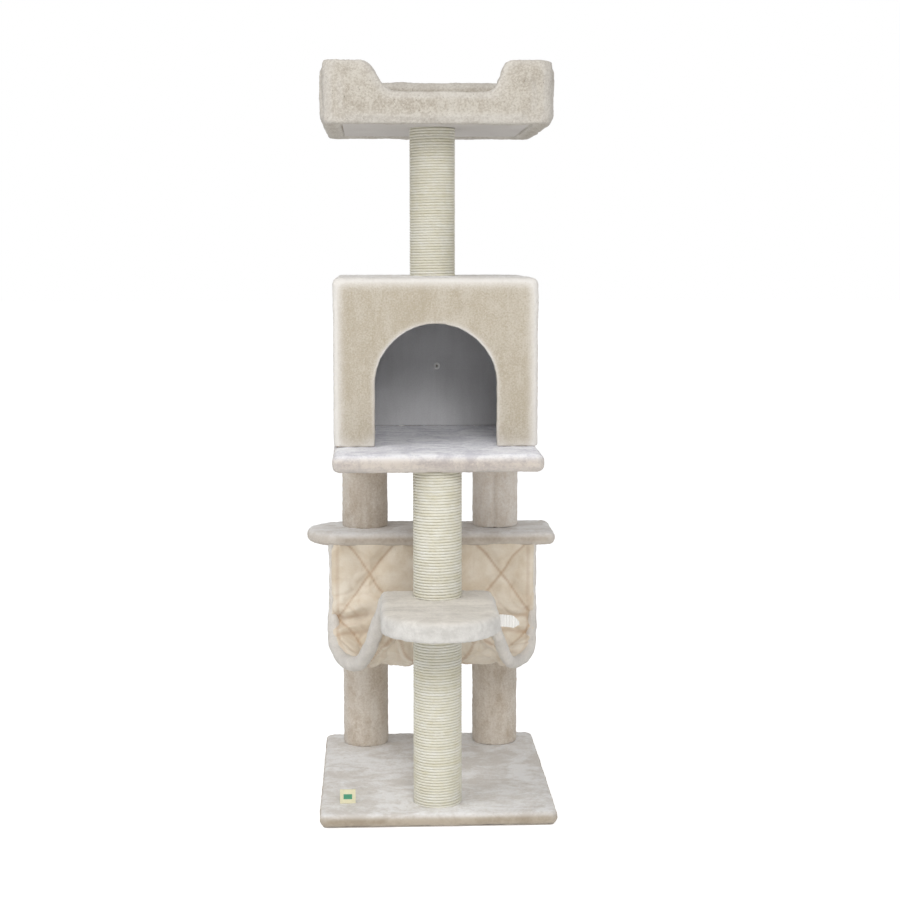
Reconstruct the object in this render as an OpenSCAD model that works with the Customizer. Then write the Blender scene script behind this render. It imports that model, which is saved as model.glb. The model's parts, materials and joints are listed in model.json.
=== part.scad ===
// Cat tree: padded base, front scratching post with a step, two padded rear posts with a shelf,
// a quilted hammock slung between shelf and step, a lined house, and a top post with a bed.
// Origin: middle of the base's underside. +X right, +Y back, +Z up. Millimetres.

/* [Base] */
// Width of the base
base_w = 410; // [400:5:440]
// Depth of the base
base_d = 500; // [490:5:540]
// Height of the covered base
base_h = 24; // [23:1:28]
// Corner radius of the base
base_r = 16; // [10:1:24]

/* [Posts] */
// Radius of the cardboard tubes
tube_r = 37; // [36:1:38]
// Wall of the cardboard tubes
tube_wall = 4; // [3:1:5]
// Thickness of the sisal rope winding
rope_t = 5; // [4:1:6]
// Thickness of the plush sleeve on the rear posts
sleeve_t = 6.5; // [5:0.5:8]
// Centre of the front post behind the origin
front_post_y = -178; // [-180:1:-176]
// Distance of each rear post from the middle
rear_post_x = 126; // [124:1:130]
// Centre of the rear posts behind the origin
rear_post_y = 195; // [193:1:197]
// Centre of the top post behind the origin
top_post_y = 108; // [100:1:120]
// Height of the front post below the step
front_lower_h = 329; // [320:1:335]
// Height of the rear posts below the shelf
rear_lower_h = 404; // [400:1:410]
// Height of the rear posts above the shelf
rear_upper_h = 158; // [150:1:170]
// Height of the top post
top_post_h = 270; // [220:5:320]

/* [Platforms] */
// Thickness of the boards
board_t = 15; // [14:1:16]
// Height of the covered step
step_h = 36; // [34:1:38]
// Width of the step
step_w = 196; // [190:1:200]
// Height of the covered shelf
shelf_h = 25; // [24:1:28]
// Height of the covered house floor
floor_h = 31; // [29:1:33]
// Width of the house floor
floor_w = 358; // [358:1:370]
// Depth of the house floor
floor_d = 500; // [500:1:510]

/* [House] */
// Width of the house
house_w = 356; // [350:1:356]
// Depth of the house
house_d = 378; // [370:1:378]
// Height of the house
house_h = 293; // [285:5:315]
// Radius of the arched doorway
door_r = 106.5; // [100:0.5:108]
// Height of the doorway's straight sides
door_side_h = 107.5; // [100:0.5:115]

/* [Bed] */
// Width of the bed
bed_w = 404; // [400:2:410]
// Depth of the bed
bed_d = 438; // [430:2:440]
// Height of the bed's tall walls
bed_h = 110; // [105:1:120]
// Height of the bed's low front edge
bed_low_h = 56; // [52:1:60]
// Thickness of the padded walls
bed_wall = 34; // [32:1:38]

/* [Hidden] */

$fn = 64;

// Colours
plush = [0.86, 0.84, 0.80];
plush_warm = [0.82, 0.78, 0.71];
plush_taupe = [0.72, 0.67, 0.62];
sling_cream = [0.90, 0.85, 0.77];
hem_white = [0.92, 0.91, 0.88];
rope = [0.87, 0.85, 0.74];
card = [0.66, 0.54, 0.40];
wood = [0.78, 0.66, 0.49];
steel = [0.70, 0.71, 0.73];
felt_grey = [0.52, 0.51, 0.52];
sheet_grey = [0.74, 0.72, 0.70];

// Levels, from the floor up
underside_t = 1.5;
base_skin = (base_h - board_t) / 2;
step_z = base_h + front_lower_h;
step_top = step_z + step_h;
shelf_z = base_h + rear_lower_h;
shelf_top = shelf_z + shelf_h;
floor_z = shelf_top + rear_upper_h;
floor_top = floor_z + floor_h;
house_top = floor_top + house_h;
bed_z = house_top + top_post_h;
step_skin = (step_h - board_t) / 2;
shelf_skin = (shelf_h - board_t) / 2;
floor_skin = (floor_h - board_t) / 2;

// Post positions
front_post = [0, front_post_y];
rear_left = [-rear_post_x, rear_post_y];
rear_right = [rear_post_x, rear_post_y];
top_post = [2, top_post_y];
plug_r = tube_r - tube_wall;
plug_h = 18;

// M8 fasteners
m8_r = 4;
m8_head_r = 7.5;
m8_head_h = 5.3;
washer_r = 11;
washer_t = 1.6;
bolt_reach = plug_h;
head_room = m8_head_h + washer_t;

// Wood screws
screw_r = 1.75;
screw_head_r = 3.8;
screw_head_h = 2.5;
screw_len = 35;

// Step outline: straight sides with a round nose
step_back = -122;
step_side_y = -320;
step_nose = 72;
step_nose_r = (pow(step_w / 2, 2) + step_nose * step_nose) / (2 * step_nose);

// Shelf outline: round left end, square right end
shelf_left = -237;
shelf_right = 235;
shelf_front = 95;
shelf_back = 253;
shelf_d = shelf_back - shelf_front;
shelf_corner_r = 18;

// House floor and house
floor_y = 7;
floor_r = 12;
house_y = 66;
house_skin = 5;
panel_t = 10;
lining_t = 2;
door_wrap = 4;
front_y = house_y - house_d / 2;
back_y = house_y + house_d / 2;
panel_x = house_w / 2 - house_skin;
room_x = panel_x - panel_t;
panel_front = front_y + house_skin;
panel_back = back_y - house_skin;
room_front = panel_front + panel_t;
room_back = panel_back - panel_t;
panel_top = house_top - house_skin;
room_top = panel_top - panel_t;
side_mid_x = panel_x - panel_t / 2;
anchor = [15, 0, floor_top + 117];
grommet_bore_r = 2.5;
grommet_barrel_r = 4.5;
grommet_flange_r = 6.5;
grommet_flange_t = 1.5;

// Bed
bed_x = 6;
bed_y = 154;
bed_rim_drop = 4;
bed_rim_z = bed_z - bed_rim_drop;
bed_top = bed_rim_z + bed_h;
bed_r = 26;
bed_sheet_t = 2;
bed_board_t = 12;
bed_board_z = bed_z + bed_sheet_t;
bed_floor_z = bed_board_z + bed_board_t;
bed_floor_t = 6;
bed_wall_in = 12;
bed_wall_t = 10;
bed_board_in = bed_wall_in + bed_wall_t;
bed_wall_margin = 10;
cut_left_low = -70;
cut_left_high = -129;
cut_right_low = 96;
cut_right_high = 134;
cut_steps = 10;

// Hammock: rear leg down from the shelf, round bottom, straight leg up to the step
sling_y = 106;
sling_r = 75;
sling_c = [sling_y - sling_r, 296];
sling_end = [step_back + 4, step_z + 18];
sling_t = 12;
hem_t = 22;
sling_x = 2;
sling_rear_x = 200;
tab_t = 6;
rear_tab_y = 142;
front_tab_top = step_z + 30;
end_v = sling_end - sling_c;
end_angle = atan2(end_v[1], end_v[0]) + acos(sling_r / norm(end_v));
rear_screw_y = 130;
rear_screw_x = [-150, -50, 50, 150];
front_screw_x = [-55, 55];
front_screw_z = step_z + step_h / 2;

module round_rect(w, d, r) {
    square([w - 2 * r, d], center = true);
    square([w, d - 2 * r], center = true);
    for (x = [-1, 1], y = [-1, 1])
        translate([x * (w / 2 - r), y * (d / 2 - r)]) circle(r);
}

// A hole or a rod along +Z at a point of the plan
module rod_at(p, r, z0, z1) {
    translate([p[0], p[1], z0]) cylinder(r = r, h = z1 - z0);
}

// ---- Fasteners ----
module hex_bolt(shank) {
    translate([0, 0, -m8_head_h]) cylinder(r = m8_head_r, h = m8_head_h, $fn = 6);
    cylinder(r = m8_r, h = shank);
}

module washer(r, bore, t) {
    difference() {
        cylinder(r = r, h = t);
        translate([0, 0, -1]) cylinder(r = bore, h = t + 2);
    }
}

// Countersunk wood screw, its head flush with z = 0, pointing along +Z
module wood_screw(len = screw_len) {
    cylinder(r1 = screw_head_r, r2 = screw_r, h = screw_head_h);
    translate([0, 0, screw_head_h]) cylinder(r = screw_r, h = len - screw_head_h);
}

// ---- Base ----
base_posts = [front_post, rear_left, rear_right];
bolt_seat_z = base_skin + head_room + 0.5;

module base_board() {
    color(wood) difference() {
        translate([0, 0, base_skin]) linear_extrude(board_t)
            round_rect(base_w - 2 * base_skin, base_d - 2 * base_skin, base_r - base_skin);
        for (p = base_posts) {
            rod_at(p, m8_r, 0, base_h);
            rod_at(p, washer_r, 0, bolt_seat_z);
        }
    }
}

module base_cover() {
    fold_w = 35;
    color(plush) difference() {
        translate([0, 0, underside_t]) linear_extrude(base_h - underside_t)
            round_rect(base_w, base_d, base_r);
        translate([0, 0, base_skin]) linear_extrude(board_t)
            round_rect(base_w - 2 * base_skin, base_d - 2 * base_skin, base_r - base_skin);
        translate([0, 0, -1]) linear_extrude(base_skin + 2)
            round_rect(base_w - 2 * fold_w, base_d - 2 * fold_w, 4);
        for (p = base_posts) rod_at(p, m8_r, 1, base_h + 1);
    }
}

module base_underside_sheet() {
    sheet_in = 6;
    color(sheet_grey) difference() {
        linear_extrude(underside_t)
            round_rect(base_w - 2 * sheet_in, base_d - 2 * sheet_in, base_r - sheet_in);
        for (p = base_posts) rod_at(p, washer_r, -1, 5);
    }
}

// Blank woven label that stands in the pile and leans back
module base_label() {
    label_w = 27;
    label_h = 24;
    label_t = 1;
    lean = 25;
    color([0.88, 0.85, 0.68]) translate([-157, -186, base_h]) difference() {
        rotate([-lean, 0, 0]) translate([-label_w / 2, 0, -1]) cube([label_w, label_t, label_h + 1]);
        translate([-label_w, -label_h, -label_h]) cube([2 * label_w, 2 * label_h, label_h]);
    }
}

// ---- Posts ----
module tube_between(p, z0, z1) {
    color(card) difference() {
        rod_at(p, tube_r, z0, z1);
        rod_at(p, plug_r, z0 - 1, z1 + 1);
    }
}

module wrap_between(p, z0, z1, t) {
    difference() {
        rod_at(p, tube_r + t, z0, z1);
        rod_at(p, tube_r, z0 - 1, z1 + 1);
    }
}

module sisal_between(p, z0, z1) {
    color(rope) wrap_between(p, z0, z1, rope_t);
}

module sleeve_between(p, z0, z1) {
    color(plush_taupe) wrap_between(p, z0, z1, sleeve_t);
}

// Every post section: plan position, bottom and top
sections = [
    [front_post, base_h, step_z],
    [front_post, step_top, floor_z],
    [rear_left, base_h, shelf_z],
    [rear_left, shelf_top, floor_z],
    [rear_right, base_h, shelf_z],
    [rear_right, shelf_top, floor_z],
    [top_post, house_top, bed_z]
];

module tube_of(s) {
    tube_between(s[0], s[1], s[2]);
}

module front_lower_tube() { tube_of(sections[0]); }
module front_upper_tube() { tube_of(sections[1]); }
module back_left_lower_tube() { tube_of(sections[2]); }
module back_left_upper_tube() { tube_of(sections[3]); }
module back_right_lower_tube() { tube_of(sections[4]); }
module back_right_upper_tube() { tube_of(sections[5]); }
module top_tube() { tube_of(sections[6]); }

module front_lower_sisal() { sisal_between(front_post, base_h, step_z); }
module front_upper_sisal() { sisal_between(front_post, step_top, floor_z); }
module top_sisal() { sisal_between(top_post, house_top, bed_z); }

module back_left_lower_sleeve() { sleeve_between(rear_left, base_h, shelf_z); }
module back_left_upper_sleeve() { sleeve_between(rear_left, shelf_top, floor_z); }
module back_right_lower_sleeve() { sleeve_between(rear_right, base_h, shelf_z); }
module back_right_upper_sleeve() { sleeve_between(rear_right, shelf_top, floor_z); }

// Wooden plugs in both ends of every tube
module post_end_plugs() {
    color(wood) for (s = sections, z = [s[1], s[2] - plug_h]) difference() {
        rod_at(s[0], plug_r, z, z + plug_h);
        rod_at(s[0], m8_r, z - 1, z + plug_h + 1);
    }
}

// Bolts up through the base, and at both ends of the top post
module post_bolts() {
    color(steel) {
        for (p = base_posts) translate([p[0], p[1], bolt_seat_z - washer_t])
            hex_bolt(base_h + bolt_reach - bolt_seat_z + washer_t);
        translate([top_post[0], top_post[1], room_top - lining_t - washer_t])
            hex_bolt(house_top + bolt_reach - room_top + lining_t + washer_t);
        translate([top_post[0], top_post[1], bed_floor_z + washer_t]) mirror([0, 0, 1])
            hex_bolt(bed_floor_z + washer_t - bed_z + bolt_reach);
    }
}

module post_washers() {
    color(steel) {
        for (p = base_posts) translate([p[0], p[1], bolt_seat_z - washer_t])
            washer(washer_r, m8_r, washer_t);
        translate([top_post[0], top_post[1], room_top - lining_t - washer_t])
            washer(washer_r, m8_r, washer_t);
        translate([top_post[0], top_post[1], bed_floor_z]) washer(washer_r, m8_r, washer_t);
    }
}

// Headless studs that join a post to the next one, or to the nut in the house floor
stud_end = floor_top - floor_skin - 3;

module post_studs() {
    color(steel) {
        rod_at(front_post, m8_r, step_z - bolt_reach, step_top + bolt_reach);
        for (p = [rear_left, rear_right]) rod_at(p, m8_r, shelf_z - bolt_reach, shelf_top + bolt_reach);
        for (p = base_posts) rod_at(p, m8_r, floor_z - bolt_reach, stud_end);
    }
}

t_nut_r = 5.5;
t_nut_flange_t = 1.5;
t_nut_z = floor_top - floor_skin - 10;

module t_nut_body(p) {
    rod_at(p, t_nut_r, t_nut_z, floor_top - floor_skin - t_nut_flange_t);
    rod_at(p, washer_r, floor_top - floor_skin - t_nut_flange_t, floor_top - floor_skin);
}

module floor_t_nuts() {
    color(steel) for (p = base_posts) difference() {
        t_nut_body(p);
        rod_at(p, m8_r, t_nut_z - 1, floor_top);
    }
}

// ---- Padded platforms: a board inside a closed plush cover ----
module step_outline(inset = 0) {
    w = step_w - 2 * inset;
    corner = 10;
    r = step_nose_r - inset;
    intersection() {
        union() {
            translate([0, (step_back + step_side_y) / 2])
                round_rect(w, step_back - step_side_y - 2 * inset, corner - inset / 2);
            translate([0, step_side_y - step_nose + step_nose_r]) circle(r, $fn = 96);
            translate([-w / 2, step_side_y]) square([w, -step_side_y + step_back - 2 * corner - inset]);
        }
        translate([-w / 2, -500]) square([w, 500 + step_back - inset]);
    }
}

module shelf_outline(inset = 0) {
    r = shelf_d / 2 - inset;
    corner = shelf_corner_r - inset;
    left_c = shelf_left + shelf_d / 2;
    mid_y = (shelf_front + shelf_back) / 2;
    translate([left_c, mid_y]) circle(r, $fn = 96);
    translate([left_c, shelf_front + inset])
        square([shelf_right - inset - corner - left_c, shelf_d - 2 * inset]);
    translate([shelf_right - inset - 2 * corner, shelf_front + inset + corner])
        square([2 * corner, shelf_d - 2 * inset - 2 * corner]);
    for (y = [shelf_front + inset + corner, shelf_back - inset - corner])
        translate([shelf_right - inset - corner, y]) circle(corner);
}

module floor_outline(inset = 0) {
    translate([0, floor_y]) round_rect(floor_w - 2 * inset, floor_d - 2 * inset, floor_r - inset / 2);
}

// A wood screw at each place that holds the hammock, pointing into its board
module hammock_screw_at(washer_gap) {
    for (x = rear_screw_x) translate([x, rear_screw_y, shelf_z - tab_t - washer_gap]) children();
    for (x = front_screw_x) translate([x, step_back + tab_t + washer_gap, front_screw_z])
        rotate([90, 0, 0]) children();
}

small_washer_r = 6;
small_washer_t = 1.2;
hammock_screw_len = 24;

module hammock_screws() {
    color(steel) hammock_screw_at(small_washer_t + screw_head_h) wood_screw(hammock_screw_len);
}

module hammock_washers() {
    color(steel) hammock_screw_at(small_washer_t) washer(small_washer_r, screw_r, small_washer_t);
}

module step_board() {
    color(wood) difference() {
        translate([0, 0, step_z + step_skin]) linear_extrude(board_t) step_outline(step_skin);
        rod_at(front_post, m8_r, step_z, step_top);
        hammock_screws();
    }
}

module step_cover() {
    color(plush) difference() {
        translate([0, 0, step_z]) linear_extrude(step_h) step_outline();
        translate([0, 0, step_z + step_skin]) linear_extrude(board_t) step_outline(step_skin);
        rod_at(front_post, m8_r, step_z - 1, step_top + 1);
        hammock_screws();
    }
}

module shelf_board() {
    color(wood) difference() {
        translate([0, 0, shelf_z + shelf_skin]) linear_extrude(board_t) shelf_outline(shelf_skin);
        for (p = [rear_left, rear_right]) rod_at(p, m8_r, shelf_z, shelf_top);
        hammock_screws();
    }
}

module shelf_cover() {
    color(plush) difference() {
        translate([0, 0, shelf_z]) linear_extrude(shelf_h) shelf_outline();
        translate([0, 0, shelf_z + shelf_skin]) linear_extrude(board_t) shelf_outline(shelf_skin);
        for (p = [rear_left, rear_right]) rod_at(p, m8_r, shelf_z - 1, shelf_top + 1);
        hammock_screws();
    }
}

module floor_board() {
    color(wood) difference() {
        translate([0, 0, floor_z + floor_skin]) linear_extrude(board_t) floor_outline(floor_skin);
        for (p = base_posts) {
            rod_at(p, m8_r, floor_z, floor_top);
            t_nut_body(p);
        }
        house_floor_screws();
    }
}

module floor_cover() {
    color(plush) difference() {
        translate([0, 0, floor_z]) linear_extrude(floor_h) floor_outline();
        translate([0, 0, floor_z + floor_skin]) linear_extrude(board_t) floor_outline(floor_skin);
        for (p = base_posts) rod_at(p, m8_r, floor_z - 1, floor_z + floor_skin + 1);
        house_floor_screws();
    }
}

// ---- Hammock ----
// Centre line of the sling in the YZ plane, moved outwards by off
function sling_edge(off) = concat(
    [[sling_y + off, shelf_z]],
    [for (i = [0:16]) sling_c + (sling_r + off) * [cos(-i * (360 - end_angle) / 16), sin(-i * (360 - end_angle) / 16)]],
    [sling_end + off * [cos(end_angle), sin(end_angle)]]);

function reversed(list) = [for (i = [len(list) - 1:-1:0]) list[i]];

// Side view of the sling, cut where it meets the step
module sling_profile(t) {
    intersection() {
        polygon(concat(sling_edge(t / 2), reversed(sling_edge(-t / 2))));
        translate([step_back, 0]) square([400, shelf_z]);
    }
}

// Plan of the sling: it narrows towards the step
module sling_plan(inset = 0) {
    half = [[145, sling_rear_x], [85, sling_rear_x], [25, 161], [-45, 126], [step_back - 5, 96]];
    polygon(concat(
        [for (p = half) [sling_x + p[1] - inset, p[0]]],
        [for (p = reversed(half)) [sling_x - p[1] + inset, p[0]]]));
}

module along_x(length = 500) {
    translate([-length / 2, 0, 0]) rotate([90, 0, 90]) linear_extrude(length) children();
}

module hammock_cloth() {
    color(sling_cream) difference() {
        intersection() {
            union() {
                along_x() sling_profile(sling_t);
                along_x() translate([sling_y, shelf_z - tab_t]) square([rear_tab_y - sling_y, tab_t]);
            }
            translate([0, 0, 150]) linear_extrude(300) sling_plan(hem_t);
        }
        hammock_screws();
        hammock_washers();
        translate([-80, step_back, front_screw_z - 4]) cube([160, tab_t, 60]);
    }
    color(sling_cream) difference() {
        translate([-72, step_back, front_screw_z - 4]) cube([144, tab_t, front_tab_top - front_screw_z]);
        hammock_screws();
    }
}

module sling_hem(side) {
    color(hem_white) intersection() {
        along_x() sling_profile(hem_t);
        translate([0, 0, 150]) linear_extrude(shelf_z - 150) difference() {
            sling_plan();
            sling_plan(hem_t);
        }
        translate([side > 0 ? 0 : -300, -300, 0]) cube([300, 600, 600]);
    }
}

module hammock_left_hem() { sling_hem(-1); }
module hammock_right_hem() { sling_hem(1); }

// Blank care tag sewn into the right hem near the step
module hammock_care_tag() {
    tag_w = 42;
    tag_h = 22;
    tag_t = 1.2;
    color(hem_white) difference() {
        translate([108, -80, 312]) cube([tag_w, tag_t, tag_h]);
        translate([0, 0, 300]) linear_extrude(50) sling_plan();
    }
}

// ---- House ----
// Arched doorway in the XZ plane, standing on the house floor
module door_outline(grow = 0) {
    translate([-door_r - grow, -1]) square([2 * (door_r + grow), door_side_h + 1]);
    translate([0, door_side_h]) circle(door_r + grow, $fn = 96);
}

// Extrudes an XZ outline between two depths
module upright(y0, y1) {
    translate([0, y1, floor_top]) rotate([90, 0, 0]) linear_extrude(y1 - y0) children();
}

module wall_outline(half_w, h) {
    translate([-half_w, 0]) square([2 * half_w, h]);
}

// Screws that join the front and back panels to the sides and top
module house_screws() {
    places = concat(
        [for (x = [-side_mid_x, side_mid_x], z = [60, 150, 240]) [x, floor_top + z]],
        [for (x = [-90, 90]) [x, panel_top - panel_t / 2]]);
    color(steel) for (p = places) {
        translate([p[0], panel_front, p[1]]) rotate([-90, 0, 0]) wood_screw();
        translate([p[0], panel_back, p[1]]) rotate([90, 0, 0]) wood_screw();
    }
}

// Screws up through the house floor into the side panels
module house_floor_screws() {
    color(steel) for (x = [-side_mid_x, side_mid_x], y = [-70, 66, 210])
        translate([x, y, floor_z + floor_skin]) wood_screw(45);
}

module anchor_bore(y0, y1, r) {
    translate([anchor[0], y0, anchor[2]]) rotate([-90, 0, 0]) cylinder(r = r, h = y1 - y0);
}

module house_front_panel() {
    color(wood) difference() {
        upright(panel_front, room_front) difference() {
            wall_outline(panel_x, panel_top - floor_top);
            door_outline(door_wrap);
        }
        house_screws();
    }
}

module house_back_panel() {
    color(wood) difference() {
        upright(room_back, panel_back) wall_outline(panel_x, panel_top - floor_top);
        anchor_bore(room_back - 1, panel_back + 1, grommet_barrel_r);
        house_screws();
    }
}

module house_side_panel(side) {
    x0 = side > 0 ? room_x : -panel_x;
    color(wood) difference() {
        translate([x0, room_front, floor_top])
            cube([panel_t, room_back - room_front, panel_top - floor_top]);
        house_screws();
        house_floor_screws();
    }
}

module house_left_panel() { house_side_panel(-1); }
module house_right_panel() { house_side_panel(1); }

module house_top_panel() {
    color(wood) difference() {
        translate([-room_x, room_front, room_top])
            cube([2 * room_x, room_back - room_front, panel_t]);
        rod_at(top_post, m8_r, room_top - 1, panel_top + 1);
        house_screws();
    }
}

module house_front_cover() {
    color(plush_warm) {
        difference() {
            upright(front_y, panel_front) difference() {
                wall_outline(house_w / 2, house_h);
                door_outline();
            }
        }
        upright(panel_front, room_front + lining_t) difference() {
            intersection() {
                door_outline(door_wrap);
                wall_outline(house_w / 2, house_h);
            }
            door_outline();
        }
    }
}

module house_wrap_cover() {
    color(plush) difference() {
        upright(panel_front, panel_back) difference() {
            wall_outline(house_w / 2, house_h);
            translate([0, -1]) wall_outline(panel_x, panel_top - floor_top + 1);
        }
        rod_at(top_post, m8_r, panel_top - 1, house_top + 1);
    }
}

module house_back_cover() {
    color(plush) difference() {
        upright(panel_back, back_y) wall_outline(house_w / 2, house_h);
        anchor_bore(panel_back - 1, back_y + 1, grommet_barrel_r);
    }
}

module house_front_lining() {
    color(felt_grey) upright(room_front, room_front + lining_t) difference() {
        wall_outline(room_x, room_top - floor_top);
        door_outline(door_wrap);
    }
}

module house_back_lining() {
    color(felt_grey) difference() {
        upright(room_back - lining_t, room_back) wall_outline(room_x, room_top - floor_top);
        anchor_bore(room_back - lining_t - 1, room_back + 1, grommet_barrel_r);
    }
}

module house_side_lining(side) {
    x0 = side > 0 ? room_x - lining_t : -room_x;
    color(felt_grey) translate([x0, room_front + lining_t, floor_top])
        cube([lining_t, room_back - room_front - 2 * lining_t, room_top - floor_top]);
}

module house_left_lining() { house_side_lining(-1); }
module house_right_lining() { house_side_lining(1); }

module house_top_lining() {
    color(felt_grey) difference() {
        translate([lining_t - room_x, room_front + lining_t, room_top - lining_t])
            cube([2 * (room_x - lining_t), room_back - room_front - 2 * lining_t, lining_t]);
        rod_at(top_post, m8_r, room_top - lining_t - 1, room_top + 1);
    }
}

// Eyelet through the back wall for an anti-tip strap
module wall_anchor_grommet() {
    inner_y = room_back - lining_t;
    color(hem_white) difference() {
        union() {
            anchor_bore(inner_y - grommet_flange_t, inner_y, grommet_flange_r);
            anchor_bore(inner_y, back_y, grommet_barrel_r);
            anchor_bore(back_y, back_y + grommet_flange_t, grommet_flange_r);
        }
        anchor_bore(inner_y - 5, back_y + 5, grommet_bore_r);
    }
}

// ---- Bed ----
module bed_outline(inset = 0) {
    translate([bed_x, bed_y])
        round_rect(bed_w - 2 * inset, bed_d - 2 * inset, max(bed_r - inset, 3));
}

// The front wall dips between two soft shoulders: fraction of the rise at fraction t of the slope
function rise(t) = (1 - cos(180 * t)) / 2;

// Space above the dipped front edge, in the XZ plane
module front_dip(margin = 0) {
    low = bed_rim_z + bed_low_h - margin;
    top = bed_top - margin;
    left = [for (i = [0:cut_steps]) [
        cut_left_high + (cut_left_low - cut_left_high) * i / cut_steps,
        top + (low - top) * rise(i / cut_steps)]];
    right = [for (i = [0:cut_steps]) [
        cut_right_low + (cut_right_high - cut_right_low) * i / cut_steps,
        low + (top - low) * rise(i / cut_steps)]];
    polygon(concat(left, right, [[cut_right_high, bed_top + 20], [cut_left_high, bed_top + 20]]));
}

module dip_cut(margin = 0) {
    front = bed_y - bed_d / 2;
    translate([0, front + bed_wall + 1, 0]) rotate([90, 0, 0]) linear_extrude(bed_wall + 3)
        front_dip(margin);
}

wall_lo = [bed_x - bed_w / 2 + bed_wall_in, bed_y - bed_d / 2 + bed_wall_in];
wall_hi = [bed_x + bed_w / 2 - bed_wall_in, bed_y + bed_d / 2 - bed_wall_in];
wall_top = bed_top - bed_wall_margin;

module bed_wall_screws() {
    places_y = [-90, 90];
    color(steel) for (t = places_y) {
        z = bed_board_z + bed_board_t / 2;
        translate([bed_x + t, wall_lo[1], z]) rotate([-90, 0, 0]) wood_screw();
        translate([bed_x + t, wall_hi[1], z]) rotate([90, 0, 0]) wood_screw();
        translate([wall_lo[0], bed_y + t, z]) rotate([0, 90, 0]) wood_screw();
        translate([wall_hi[0], bed_y + t, z]) rotate([0, -90, 0]) wood_screw();
    }
}

// The front and back walls run the full width, the side walls stand between them
module bed_cross_wall(y0) {
    translate([wall_lo[0], y0, bed_board_z])
        cube([wall_hi[0] - wall_lo[0], bed_wall_t, wall_top - bed_board_z]);
}

module bed_side_wall(x0) {
    translate([x0, wall_lo[1] + bed_wall_t, bed_board_z])
        cube([bed_wall_t, wall_hi[1] - wall_lo[1] - 2 * bed_wall_t, wall_top - bed_board_z]);
}

module bed_front_wall() {
    color(wood) difference() {
        bed_cross_wall(wall_lo[1]);
        dip_cut(bed_wall_margin);
        bed_wall_screws();
    }
}

module bed_back_wall() {
    color(wood) difference() {
        bed_cross_wall(wall_hi[1] - bed_wall_t);
        bed_wall_screws();
    }
}

module bed_left_wall() {
    color(wood) difference() {
        bed_side_wall(wall_lo[0]);
        bed_wall_screws();
    }
}

module bed_right_wall() {
    color(wood) difference() {
        bed_side_wall(wall_hi[0] - bed_wall_t);
        bed_wall_screws();
    }
}

module bed_board_blank() {
    translate([wall_lo[0] + bed_wall_t, wall_lo[1] + bed_wall_t, bed_board_z])
        cube([wall_hi[0] - wall_lo[0] - 2 * bed_wall_t, wall_hi[1] - wall_lo[1] - 2 * bed_wall_t, bed_board_t]);
}

module bed_board() {
    color(wood) difference() {
        bed_board_blank();
        rod_at(top_post, m8_r, bed_z, bed_floor_z + 1);
        bed_wall_screws();
    }
}

// Padded plush all round the four walls, open below and inside
module bed_wall_cover() {
    color(plush_warm) difference() {
        translate([0, 0, bed_rim_z]) linear_extrude(bed_h) difference() {
            bed_outline();
            bed_outline(bed_wall);
        }
        dip_cut();
        difference() {
            union() {
                bed_cross_wall(wall_lo[1]);
                bed_cross_wall(wall_hi[1] - bed_wall_t);
                bed_side_wall(wall_lo[0]);
                bed_side_wall(wall_hi[0] - bed_wall_t);
            }
            dip_cut(bed_wall_margin);
        }
        bed_board_blank();
    }
}

module bed_floor_cover() {
    color(plush) difference() {
        translate([0, 0, bed_floor_z]) linear_extrude(bed_floor_t) bed_outline(bed_wall);
        rod_at(top_post, washer_r, bed_floor_z - 1, bed_floor_z + bed_floor_t + 1);
    }
}

module bed_underside_sheet() {
    color(sheet_grey) difference() {
        translate([0, 0, bed_z]) linear_extrude(bed_sheet_t) bed_outline(bed_wall);
        rod_at(top_post, m8_r, bed_z - 1, bed_board_z + 1);
    }
}

base_board();
base_cover();
base_underside_sheet();
base_label();
front_lower_tube();
front_lower_sisal();
front_upper_tube();
front_upper_sisal();
top_tube();
top_sisal();
back_left_lower_tube();
back_left_lower_sleeve();
back_left_upper_tube();
back_left_upper_sleeve();
back_right_lower_tube();
back_right_lower_sleeve();
back_right_upper_tube();
back_right_upper_sleeve();
post_end_plugs();
post_bolts();
post_washers();
post_studs();
floor_t_nuts();
step_board();
step_cover();
shelf_board();
shelf_cover();
hammock_cloth();
hammock_left_hem();
hammock_right_hem();
hammock_care_tag();
hammock_screws();
hammock_washers();
floor_board();
floor_cover();
house_front_panel();
house_back_panel();
house_left_panel();
house_right_panel();
house_top_panel();
house_front_cover();
house_wrap_cover();
house_back_cover();
house_front_lining();
house_back_lining();
house_left_lining();
house_right_lining();
house_top_lining();
wall_anchor_grommet();
house_screws();
house_floor_screws();
bed_board();
bed_front_wall();
bed_back_wall();
bed_left_wall();
bed_right_wall();
bed_wall_cover();
bed_floor_cover();
bed_underside_sheet();
bed_wall_screws();
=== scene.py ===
"""Cat tree: plush, rope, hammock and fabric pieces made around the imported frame."""

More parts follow.
